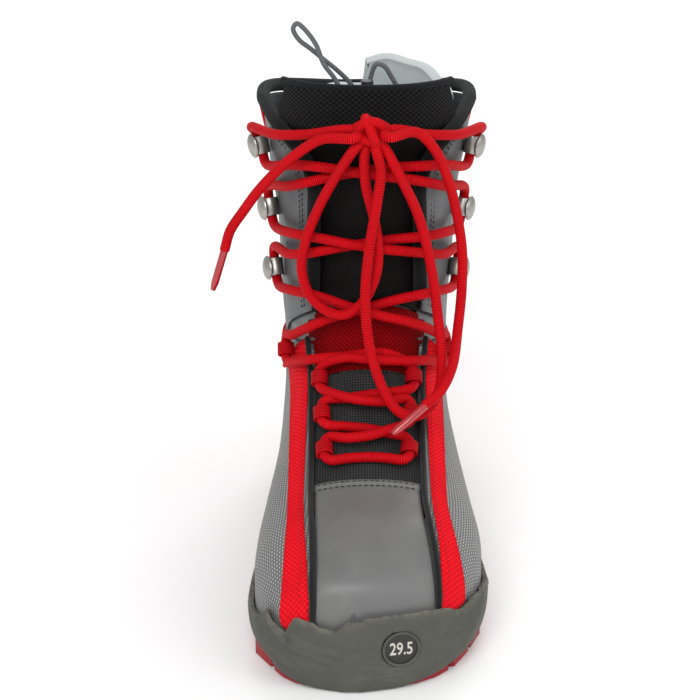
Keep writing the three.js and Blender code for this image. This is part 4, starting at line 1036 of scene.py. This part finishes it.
# (station, height) of the rand's top edge, with the inner side's stations below zero
RAND_EDGE = (
    (-8, 42), (-6, 36), (-4.4, 29.5), (-3.4, 27.5), (-2.6, 28.5), (-2.12, 32), (-1.8, 38), (-1.45, 33.5),
    (-1.04, 30), (-0.88, 39), (-0.6, 37), (-0.48, 34.5), (-0.24, 33), (-0.04, 36.5), (0.1, 39), (0.4, 39.5),
    (0.52, 40.5), (1.04, 41.5), (1.4, 40.5), (1.6, 39.5), (1.8, 37), (2.08, 36), (2.32, 38), (3.16, 36),
    (4.2, 31), (6, 36), (8, 42),
)
RAND_FOLDS = (
    ((-1.72, 36), (-1.35, 29), (-1.0, 24), (-0.6, 20), (-0.3, 17)),
    ((-1.0, 30), (-0.8, 26), (-0.5, 22.5), (-0.2, 21)),
    ((-2.3, 30), (-1.9, 23), (-1.5, 17), (-1.0, 12)),
    ((2.45, 41), (2.15, 32), (1.75, 25)),
    ((3.0, 37), (2.65, 27), (2.2, 20)),
)


def rand_bottom(s, side):
    return lerp(1.7, TREAD_TOP + GAP, smooth(s, 1.3 if side < 0 else 2.3, 2.1 if side < 0 else 3.1))


def rand_spot(u, v):
    t = 2 * u - 1
    side = -1 if t < 0 else 1
    share = spread(abs(t))
    z = lerp(rand_bottom(8 * share, side), between(RAND_EDGE, side * 8 * share), v)
    s = lerp(0.02, heel_station(round(z, 3)), share)
    return [s, side * 180 if share > 0.9999 else angle_at_z(s, z, side)]


def carry(node, name, bevel=0.5, degrees=32, finish=None, segments=2):
    """A copy of a node with its corners merged and its edges rounded."""
    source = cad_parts[node]
    obj = blank(name)
    mesh = source.data.copy()
    mesh.transform(source.matrix_world)
    mesh.name = name
    obj.data = mesh
    pick(obj)
    bpy.ops.object.mode_set(mode="EDIT")
    bpy.ops.mesh.select_all(action="SELECT")
    bpy.ops.mesh.remove_doubles(threshold=0.01 * MM)
    bpy.ops.mesh.normals_make_consistent(inside=False)
    bpy.ops.mesh.dissolve_limited(angle_limit=math.radians(0.5))
    bpy.ops.object.mode_set(mode="OBJECT")
    if bevel:
        modifier(obj, "BEVEL", width=bevel * MM, segments=segments, limit_method="ANGLE",
                 angle_limit=math.radians(degrees))
    smooth_shade(obj)
    layer = obj.data.uv_layers.new(name="UVMap").data
    for face in obj.data.polygons:
        n = face.normal
        for index in face.loop_indices:
            p = obj.data.vertices[obj.data.loops[index].vertex_index].co
            along = p.y if abs(n.x) > max(abs(n.y), abs(n.z)) else p.x
            layer[index].uv = (along, p.y if abs(n.z) > 0.7 else p.z)
    dress(obj, finish)
    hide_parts(node)
    return obj


def make_sole():
    for node, finish, bevel in (("outsole", "outsole_rubber", 0.7), ("footbed", "foam_black", 1.2)):
        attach(carry(node, f"{node}_rounded", bevel, finish=finish), "foot")
    inner = carry("liner_foot", "liner_sock", 0, finish="liner_fleece")
    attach(inner, "foot")

    s = 0.62
    seat = place_at(s, angle_at_z(s, 24, 1), GAP + RAND_WALL)

    def relief(u, v, s, phi):
        p = 8 * spread(abs(2 * u - 1)) * (-1 if u < 0.5 else 1)
        here = skin(s, phi, GAP + RAND_WALL)
        d = -1.9 * (1 - smooth((here - seat.point).length, 9.0, 10.4))
        if abs(p) < 4:
            for fold in RAND_FOLDS:
                near = 99.0
                for (p0, z0), (p1, z1) in zip(fold, fold[1:]):
                    a = Vector(((p - p0) * 24, here.z - z0))
                    b = Vector(((p1 - p0) * 24, z1 - z0))
                    near = min(near, (a - b * min(max(a.dot(b) / b.length_squared, 0), 1)).length)
                d += 0.9 * math.exp(-((near / 1.5) ** 2)) - 0.45 * math.exp(-(((near - 3.4) / 1.6) ** 2))
            d += 0.5 * smooth(v, 0.86, 0.97)
        return d

    rand = wrap(
        "rand_wall", rand_spot, 380, 34, GAP + RAND_WALL, RAND_WALL - 0.9, (2.4, 1.3), relief, ring=True
    )
    dress(rand, "rand_rubber")
    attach(rand, "foot")
    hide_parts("rand")

    across = Vector((0, 0, 1)).cross(seat.normal).normalized()
    turn = Matrix((across, seat.normal.cross(across), seat.normal)).transposed().to_4x4()

    def seated(obj, lift):
        obj.data.transform(Matrix.Translation((seat.point + seat.normal * lift) * MM) @ turn)
        return obj

    bpy.ops.mesh.primitive_cylinder_add(vertices=48, radius=BADGE_R * MM, depth=1.6 * MM)
    disc = keep(bpy.context.object, "badge_disc")
    modifier(disc, "BEVEL", width=0.4 * MM, segments=3, limit_method="ANGLE", angle_limit=math.radians(40))
    smooth_shade(seated(disc, -1.3))
    dress(disc, "badge")
    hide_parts("size_badge")
    bpy.ops.mesh.primitive_torus_add(
        major_segments=64, minor_segments=12,
        major_radius=BADGE_RING_R * MM, minor_radius=BADGE_RING_WIRE_R * MM,
    )
    ring = keep(bpy.context.object, "badge_ring")
    smooth_shade(seated(ring, -0.2))
    dress(ring, "rand_rubber")
    bpy.ops.object.text_add()
    figures = bpy.context.object
    figures.data.body = "29.5"
    figures.data.size = 9.6 * MM
    figures.data.align_x = "CENTER"
    figures.data.align_y = "CENTER"
    figures.data.extrude = 0.16 * MM
    figures.data.offset = 0.1 * MM
    figures.data.resolution_u = 4
    bpy.ops.object.convert(target="MESH")
    figures = keep(bpy.context.object, "badge_number")
    figures.data.transform(Matrix.Diagonal((0.74, 1.0, 1.0, 1.0)))
    seated(figures, -0.42)
    dress(figures, "badge_figures", "badge")
    for piece in (disc, ring, figures):
        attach(piece, "foot")


# ---------------------------------------------------------------- the foot's panels
def arc_length(s, phi):
    steps = 8
    points = [skin(s, phi * i / steps) for i in range(steps + 1)]
    return sum((b - a).length for a, b in zip(points, points[1:])) * math.copysign(1, phi)


LENGTHS = [0.0]
for k in range(1, 270):
    LENGTHS.append(LENGTHS[-1] + (skin(k * 0.05, 90) - skin(k * 0.05 - 0.05, 90)).length)


def on_side(s, phi):
    k, share = int(s * 20), s * 20 % 1
    return arc_length(s, phi), LENGTHS[k] + share * (LENGTHS[k + 1] - LENGTHS[k])


def down_front(s, phi):
    p = skin(s, phi)
    return p.x, 0.8 * (p.y + p.z)


def make_vamp():
    def cap(u, v):
        s = lerp(0.02, THROAT_STATION, v**1.25)
        return [s, lerp(cap_angle(s, -1), cap_angle(s, 1), u)]

    def cap_relief(u, v, s, phi):
        near = (THROAT_STATION - s) * 26
        x = skin(s, phi).x
        d = 0.75 * (1 - smooth(near, 3.0, 4.3)) - 0.35 * math.exp(-(((near - 4.6) / 0.9) ** 2))
        pleats = 0.14 * math.sin(x * 1.15) * math.exp(-((near - 3) / 3) ** 2)
        return d + pleats - 0.4 * math.exp(-(((near - 1.3) / 0.5) ** 2))

    toe = wrap("toe_cap_leather", cap, 110, 130, 0, PANEL, (1.6, 0.8), cap_relief)
    dress(toe, "toe_leather")
    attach(toe, "foot")
    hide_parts("toe_cap")

    seams, red_seams = [], []
    for near in (2.2, 4.6):
        s = THROAT_STATION - near / 26
        seams.append(line_on(lambda t: [s, lerp(cap_angle(s, -1), cap_angle(s, 1), lerp(0.03, 0.97, t))],
                             0.75 if near < 3 else 0.1, 30))

    for name, side in SIDES:
        def seam(s, _=None):
            return throat_angle(s, side) + side * 2

        start = solve(lambda s: side * (tuck_angle(s, side) - seam(s)) - 6, 0.5, 2.5)
        heel = heel_station(TUCK_Z)
        seam_end = foot_edge(0, seam, side)

        @lru_cache(maxsize=None)
        def row(v):
            rear = max(v - 0.5, 0) / 0.5
            front = min(v / 0.5, 1)
            top = foot_edge(rear, seam, side) if rear > 0 else lerp(start, seam_end, front)
            low = heel - (heel - 6) * (1 - rear) ** 2 if rear > 0 else lerp(start, 6, front)
            return top, low, lerp(seam(top), side * 179.5, rear), foot_back(low, side)

        def quarter(u, v):
            top, low, a, b = row(v)
            return [lerp(top, low, u), lerp(a, b, u)]

        panel = wrap(f"quarter_{name}_mesh", quarter, 40, 110, 0, PANEL, (1.2, 0.5), lay=on_side)
        dress(panel, "side_mesh")
        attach(panel, "foot")
        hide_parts(f"quarter_{name}")

        def inner(s, _=None):
            return throat_angle(s, side) + side * 5

        def outer(s, _=None):
            tucked = angle_at_z(s, between(RAND_EDGE, side * s) - 3, side)
            return side * max(min(abs(band_angle(s, side)), abs(tucked)), abs(inner(s)) + 1)

        band_start = 0.45 if side < 0 else 1.42
        band_top = station_where(lambda y, phi: foot_top(y) - 4, 0.5, inner, outer, side, 6.5, 9)

        def band(u, v):
            s = lerp(band_start, band_top, v)
            return [s, lerp(inner(s), outer(s), u)]

        strip = wrap(
            f"eyestay_band_{name}_cloth", band, 12, 110, GAP + OVERLAY, 1.3, (1.4, 0.8), lay=down_front
        )
        dress(strip, "red_weave")
        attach(strip, "foot")
        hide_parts(f"eyestay_band_{name}")
        red_seams.append(line_on(lambda t: band(0.86, lerp(0.03, 0.97, t)), GAP + OVERLAY, 40))
        red_seams.append(line_on(lambda t: band(0.17, lerp(0.03, 0.97, t)), GAP + OVERLAY, 40))

        def beside(t):
            s = lerp(band_start, band_top - 0.07, t)
            return off(place_at(s, throat_angle(s, side) + side * 1.2), PIPING_R + GAP, 0, 0)

        cord, _ = tube(f"piping_{name}_cord", [beside(i / 30) for i in range(31)], 2 * PIPING_R, step=1.5)
        dress(cord, "piping")
        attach(cord, "foot")
        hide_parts(f"piping_{name}")

        @lru_cache(maxsize=None)
        def strap_row(u):
            def front(s, _=None):
                return outer(s) + side * 1.5

            top = foot_edge(u, front, side, 3)
            return lerp(top - 0.62, heel_station(54), u), top

        def strap(u, v):
            s = lerp(*strap_row(u), v)
            return [s, lerp(outer(s) + side * 1.5, side * 179.3, u)]

        strip = wrap(f"ankle_strap_{name}_cloth", strap, 90, 18, GAP + OVERLAY, 1.1, (1.4, 0.7))
        dress(strip, "red_weave")
        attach(strip, "foot")
        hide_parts(f"ankle_strap_{name}")
        for v in (0.1, 0.9):
            red_seams.append(line_on(lambda t: strap(lerp(0.03, 0.98, t), v), GAP + OVERLAY, 40))

    for name, rows, finish, slot in (
        ("toe_cap_stitching", seams, "black_thread", "piping"),
        ("band_stitching", red_seams, "red_thread", "red_weave"),
    ):
        thread = stitches(name, rows)
        dress(thread, finish, slot)
        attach(thread, "foot")


# ---------------------------------------------------------------- the tongue
def tongue_angle(s, side, extra):
    return throat_angle(s, side) + side * extra


def strip_of(s0, s1, e0, e1):
    def at(u, v):
        s = lerp(s0, s1, v)
        z = skin(s, 0).z
        extra = lerp(e0, e1, v**2) + 15 * smooth(z, 222, 262) * (1 - 0.6 * smooth(z, 262, 280))
        return [s, lerp(tongue_angle(s, -1, extra), tongue_angle(s, 1, extra), u)]

    return at


def make_tongue():
    def front(s, side):
        return 0

    foot_end = station_where(lambda y, phi: foot_top(y) - 12, 0, front, foot_back, 1, 6, 9)
    cuff_start = station_where(lambda y, phi: cuff_bottom(y) + 2, 0, front, foot_back, 1, 7, 11)
    top_start = solve(lambda s: skin(s, 0, TONGUE_OUT).z - 258, 10, 12.9)
    puff = 0.7

    def soft(u, v, s, phi):
        return puff * (math.sin(math.pi * u) ** 0.5 - 1)

    padded_out = TONGUE_OUT + puff
    lower = wrap(
        "tongue_vamp_cloth", strip_of(3.6, foot_end, 9, 9), 60, 90, padded_out, TONGUE, (2, 1.2), soft
    )
    flex = wrap(
        "tongue_flex_mesh", strip_of(foot_end + 0.03, cuff_start - 0.03, 7, 7),
        60, 40, TONGUE_OUT + 0.2, TONGUE, (1.2, 0.8),
    )
    shin = wrap(
        "tongue_shin_cloth", strip_of(cuff_start, top_start, 9, 9.8),
        70, 90, padded_out, TONGUE, (2, 1.1), soft,
    )
    top = wrap(
        "tongue_top_mesh", strip_of(top_start - 0.05, 12.9, 9.8, 11),
        70, 30, padded_out + 0.4, TONGUE, (1.6, 0.9), soft,
    )
    for obj, finish, slot, node, body in (
        (lower, "tongue_weave", None, "tongue_vamp", "foot"),
        (flex, "red_mesh", None, "tongue_flex", None),
        (shin, "tongue_nylon", None, "tongue_shin", "cuff"),
        (top, "spacer_mesh", "tongue_nylon", None, "cuff"),
    ):
        dress(obj, finish, slot)
        if body:
            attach(obj, body)
        else:
            across_ankle(obj)
        if node:
            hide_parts(node)

    rim = []
    for i in range(25):
        phi = lerp(tongue_angle(12.9, -1, 19), tongue_angle(12.9, 1, 19), i / 24)
        rim.append(skin(12.9, phi, TONGUE_OUT - TONGUE / 2) + Vector((0, 0, TONGUE / 2 - 0.4)))
    roll, _ = tube("tongue_rim", rim, 3.9, step=1.5, sides=16)
    dress(roll, "binding")
    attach(roll, "cuff")
    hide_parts("tongue_binding")


# ---------------------------------------------------------------- the cuff
def make_cuff():
    seams = []
    for name, side in SIDES:
        def edge(s, _=None):
            return flap_angle(s, side)

        def rear(s, _):
            return side * 179.5

        @lru_cache(maxsize=None)
        def ends(u):
            low = station_where(lambda y, phi: cuff_bottom(y), u, edge, rear, side, 7.5, 11.5)
            return low, station_where(lambda y, phi: collar_z(phi), u, edge, rear, side, 10, 12.995)

        def flap(u, v):
            s = lerp(*ends(u), v)
            return [s, lerp(edge(s), side * 179.5, u)]

        def wrinkles(u, v, s, phi):
            here = skin(s, phi)
            near = 1 - smooth(abs(phi), 70, 120)
            soft = 0.5 * math.sin(here.z * 0.09 + math.sin(here.y * 0.07 + side) * 1.3)
            return soft * near - 0.25

        panel = wrap(f"cuff_panel_{name}_leather", flap, 90, 90, 0, PANEL, (1.6, 0.8), wrinkles)
        dress(panel, "cuff_leather")
        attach(panel, "cuff")
        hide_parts(f"cuff_panel_{name}")
        for gap_angle in (5.2, 7.4):
            seams.append(line_on(
                lambda t: [lerp(ends(0)[0] + 0.12, ends(0)[1] - 0.25, t),
                           edge(lerp(ends(0)[0] + 0.12, ends(0)[1] - 0.25, t)) + side * gap_angle], 0.1, 40))

        clear = COLLAR_R + 1.2
        over = TONGUE_OUT + GAP + 0.4 + COLLAR_R
        points = []
        for i in range(10):
            s = lerp(ends(0)[0], ends(0)[1], (i + 1) / 11)
            f = place_at(s, edge(s), 0)
            ahead = (skin(s + 0.1, edge(s + 0.1)) - skin(s - 0.1, edge(s - 0.1))).normalized()
            out = (ahead.cross(f.normal) * side).normalized()
            points.append(f.point - out * clear + f.normal * lerp(over, -1, (i / 11) ** 4))
        for i in range(12):
            u = 0.985 if i == 11 else (i + 0.5) / 12
            s = ends(u)[1]
            points.append(skin(s, lerp(edge(s), side * 179.5, u), -PANEL / 2) + Vector((0, 0, clear)))
        roll, _ = tube(f"collar_{name}_roll", points, 2 * COLLAR_R + 1.1, step=1.6, sides=18)
        dress(roll, "binding")
        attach(roll, "cuff")
        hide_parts(f"collar_{name}")

    @lru_cache(maxsize=None)
    def back_station(phi, v):
        folded = 360 - phi if phi > 180 else phi
        return solve(lambda t: skin(t, phi).z - lerp(150, collar_z(folded) - 2, v), 8, 12.99)

    def back(u, v):
        reach = lerp(48, 88, v**1.4)
        phi = lerp(180 - reach, 180 + reach, u)
        return [back_station(phi, v), phi]

    panel = wrap("back_panel_cloth", back, 90, 60, GAP + OVERLAY + 0.2, 1.2, (1.5, 0.8))
    dress(panel, "red_weave")
    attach(panel, "cuff")
    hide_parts("back_panel")
    red = stitches("back_panel_stitching", [
        line_on(lambda t: back(u, lerp(0.04, 0.96, t)), GAP + OVERLAY + 0.2, 30) for u in (0.03, 0.97)
    ] + [line_on(lambda t: back(lerp(0.04, 0.96, t), 0.05), GAP + OVERLAY + 0.2, 30)])
    dress(red, "red_thread", "red_weave")
    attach(red, "cuff")
    black = stitches("cuff_stitching", seams)
    dress(black, "black_thread", "piping")
    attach(black, "cuff")

    @lru_cache(maxsize=None)
    def wedge_ends(share, side):
        def seam(t, _):
            return throat_angle(t, side) + side * 2

        def flap(t, _):
            return flap_angle(t, side)

        def wrap_back(t, _):
            return side * 180

        low = station_where(lambda y, phi: foot_top(y) - 8, share, seam, wrap_back, side, 6.2, 11.5)
        high = station_where(lambda y, phi: cuff_bottom(y) + 10, share, flap, wrap_back, side, 6.5, 12)
        return (low, lerp(seam(low, 0), side * 180, share)), (high, lerp(flap(high, 0), side * 180, share))

    def wedge(u, v):
        u = 1 - u
        side = -1 if u < 0.5 else 1
        (s0, a0), (s1, a1) = wedge_ends(round(1 - abs(2 * u - 1), 6), side)
        phi = lerp(a0, a1, v)
        return [lerp(s0, s1, v), phi + 360 if phi < 0 else phi]

    def pleats(u, v, s, phi):
        return 0.8 * math.cos(2 * math.pi * 3 * v) * smooth(v, 0, 0.2) * (1 - smooth(v, 0.8, 1)) - 0.8

    gusset = wrap("ankle_gusset_cloth", wedge, 130, 30, -PANEL - 0.7, 1.0, None, pleats)
    dress(gusset, "cuff_leather")
    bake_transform(gusset)
    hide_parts("ankle_gusset")
    tab = carry("pull_tab", "pull_tab_webbing", 0.6, finish="webbing", segments=3)
    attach(tab, "cuff")


# ---------------------------------------------------------------- the liner
def make_liner():
    split = 40

    def above_cuff_edge(p):
        return p.z - cuff_bottom(p.y)

    @lru_cache(maxsize=None)
    def ends(phi):
        folded = 360 - phi if phi > 180 else phi
        low = solve(lambda s: above_cuff_edge(skin(s, phi, -LINER_INSET)) - 1, 7.5, 11.5)
        rear = smooth(folded, 60, 150)
        wave = 1.6 * math.sin(math.radians(phi) * 5) + 1.0 * math.sin(math.radians(phi) * 11 + 1)
        rim = CUFF_HEIGHT - 34 + rear * (5 if phi > 180 else 20) + wave
        return low, solve(lambda s: skin(s, phi).z - rim, 10, 13.3)

    def collar(u, v):
        phi = lerp(split, 360 - split, u)
        return [lerp(*ends(phi), v), phi]

    def quilt(u, v, s, phi):
        return 0.5 * math.sin(v * 17) * math.sin(math.radians(phi) * 9) - 0.5

    boot = wrap("liner_cuff_padding", collar, 130, 50, -LINER_INSET, LINER, (2.4, 1.1), quilt, rim=1.9)
    dress(boot, "liner_fleece")
    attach(boot, "cuff")
    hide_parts("liner_cuff")

    def flap(u, v):
        phi = lerp(-26, 26, u)
        return [lerp(flap_low(phi), 12.2, v), phi]

    @lru_cache(maxsize=None)
    def flap_low(phi):
        return solve(lambda s: skin(s, phi, -15).z - cuff_bottom(skin(s, phi, -15).y) - 2, 7.5, 11.5)

    tongue = wrap("liner_tongue_padding", flap, 50, 60, -LINER_INSET - LINER - 1, 3.5, (2, 1), rim=1.2)
    dress(tongue, "liner_fleece")
    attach(tongue, "cuff")
    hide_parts("liner_tongue")


# ---------------------------------------------------------------- hooks, loops and the cord lock
SHARP = math.radians(50)
HOOK_TILT = math.radians(-15)
HOOK_CAP_HALF = (5.6, 7.0, 3.0)
HOOK_CAP_LIFT = 8.9


def soften(obj, width):
    """Rounds the edges that are sharper than SHARP, by a width in mm."""
    modifier(obj, "BEVEL", width=width * MM, segments=3, limit_method="ANGLE", angle_limit=SHARP)


def standing(place, lift):
    """From a piece drawn with x away from the throat, y up the boot and z outwards."""
    x, z = place.away, place.normal
    y = z.cross(x)
    turn = Matrix((x, y, z)).transposed().to_4x4()
    return Matrix.Translation((place.point + z * lift) * MM) @ turn


def make_fittings():
    for name, side in SIDES:
        for i in range(3):
            place = HOOK_PLACES[side, i]
            bpy.ops.mesh.primitive_uv_sphere_add(segments=32, ring_count=16, radius=MM)
            cap = keep(bpy.context.object, f"hook_{name}_{i + 1}_cap")
            cap.data.transform(Matrix.Diagonal((*HOOK_CAP_HALF, 1)))
            bpy.ops.object.mode_set(mode="EDIT")
            bpy.ops.mesh.select_all(action="SELECT")
            bpy.ops.mesh.bisect(plane_co=(0, 0, 0), plane_no=(0, 0, 1), use_fill=True, clear_inner=True)
            bpy.ops.object.mode_set(mode="OBJECT")
            soften(cap, 0.45)
            cap.data.transform(standing(place, HOOK_CAP_LIFT) @ Matrix.Rotation(HOOK_TILT, 4, "Y"))
            smooth_shade(cap)
            dress(cap, "hook_steel")
            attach(cap, "cuff")
            body = carry(f"hook_{name}_{i + 1}", f"hook_{name}_{i + 1}_clip", 0.35, finish="hook_steel")
            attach(body, "cuff")
        for i in range(4):
            node = f"lace_loop_{name}_{i}" if i else f"ankle_loop_{name}"
            place = GUIDE_PLACES[side, i]
            r = LACE_D / 2 + 0.7
            lift = r + LOOP_WALL + GAP
            bpy.ops.mesh.primitive_cylinder_add(
                vertices=40, radius=(r + LOOP_WALL) * MM, depth=LOOP_WIDTH * MM, end_fill_type="NOTHING"
            )
            loop = keep(bpy.context.object, f"{node}_webbing")
            layer = loop.data.uv_layers[0].data
            for k, corner in enumerate(loop.data.loops):
                p = loop.data.vertices[corner.vertex_index].co
                layer[k].uv = (math.atan2(p.y, p.x) * 4 * MM, p.z)
            loop.data.transform(Matrix.Rotation(math.pi / 2, 4, "X"))
            modifier(loop, "SOLIDIFY", thickness=LOOP_WALL * MM, offset=-1)
            soften(loop, 0.35)
            loop.data.transform(standing(place, lift))
            smooth_shade(loop)
            dress(loop, "loop_webbing")
            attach(loop, "foot")
            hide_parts(node)
    body = carry("cord_lock_body", "cord_lock_barrel", 1.1, finish="lock_plastic", segments=3)
    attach(body, "cuff")
    button = carry("cord_lock_button", "cord_lock_plunger", 0.6, finish="lock_plastic", segments=3)
    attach(button, "cord_lock_button")


make_stage()
make_cords()
make_lace()
make_knot()
make_sole()
make_vamp()
make_tongue()
make_cuff()
make_liner()
make_fittings()
for node, finish in (
    ("midsole", "foam_black"), ("shank", "shank_steel"), ("insole_board", "insole_board"),
    ("heel_counter", "stiffener"), ("back_stiffener", "stiffener"),
):
    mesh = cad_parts[node].data
    mesh.materials.clear()
    mesh.materials.append(FINISHES[finish])
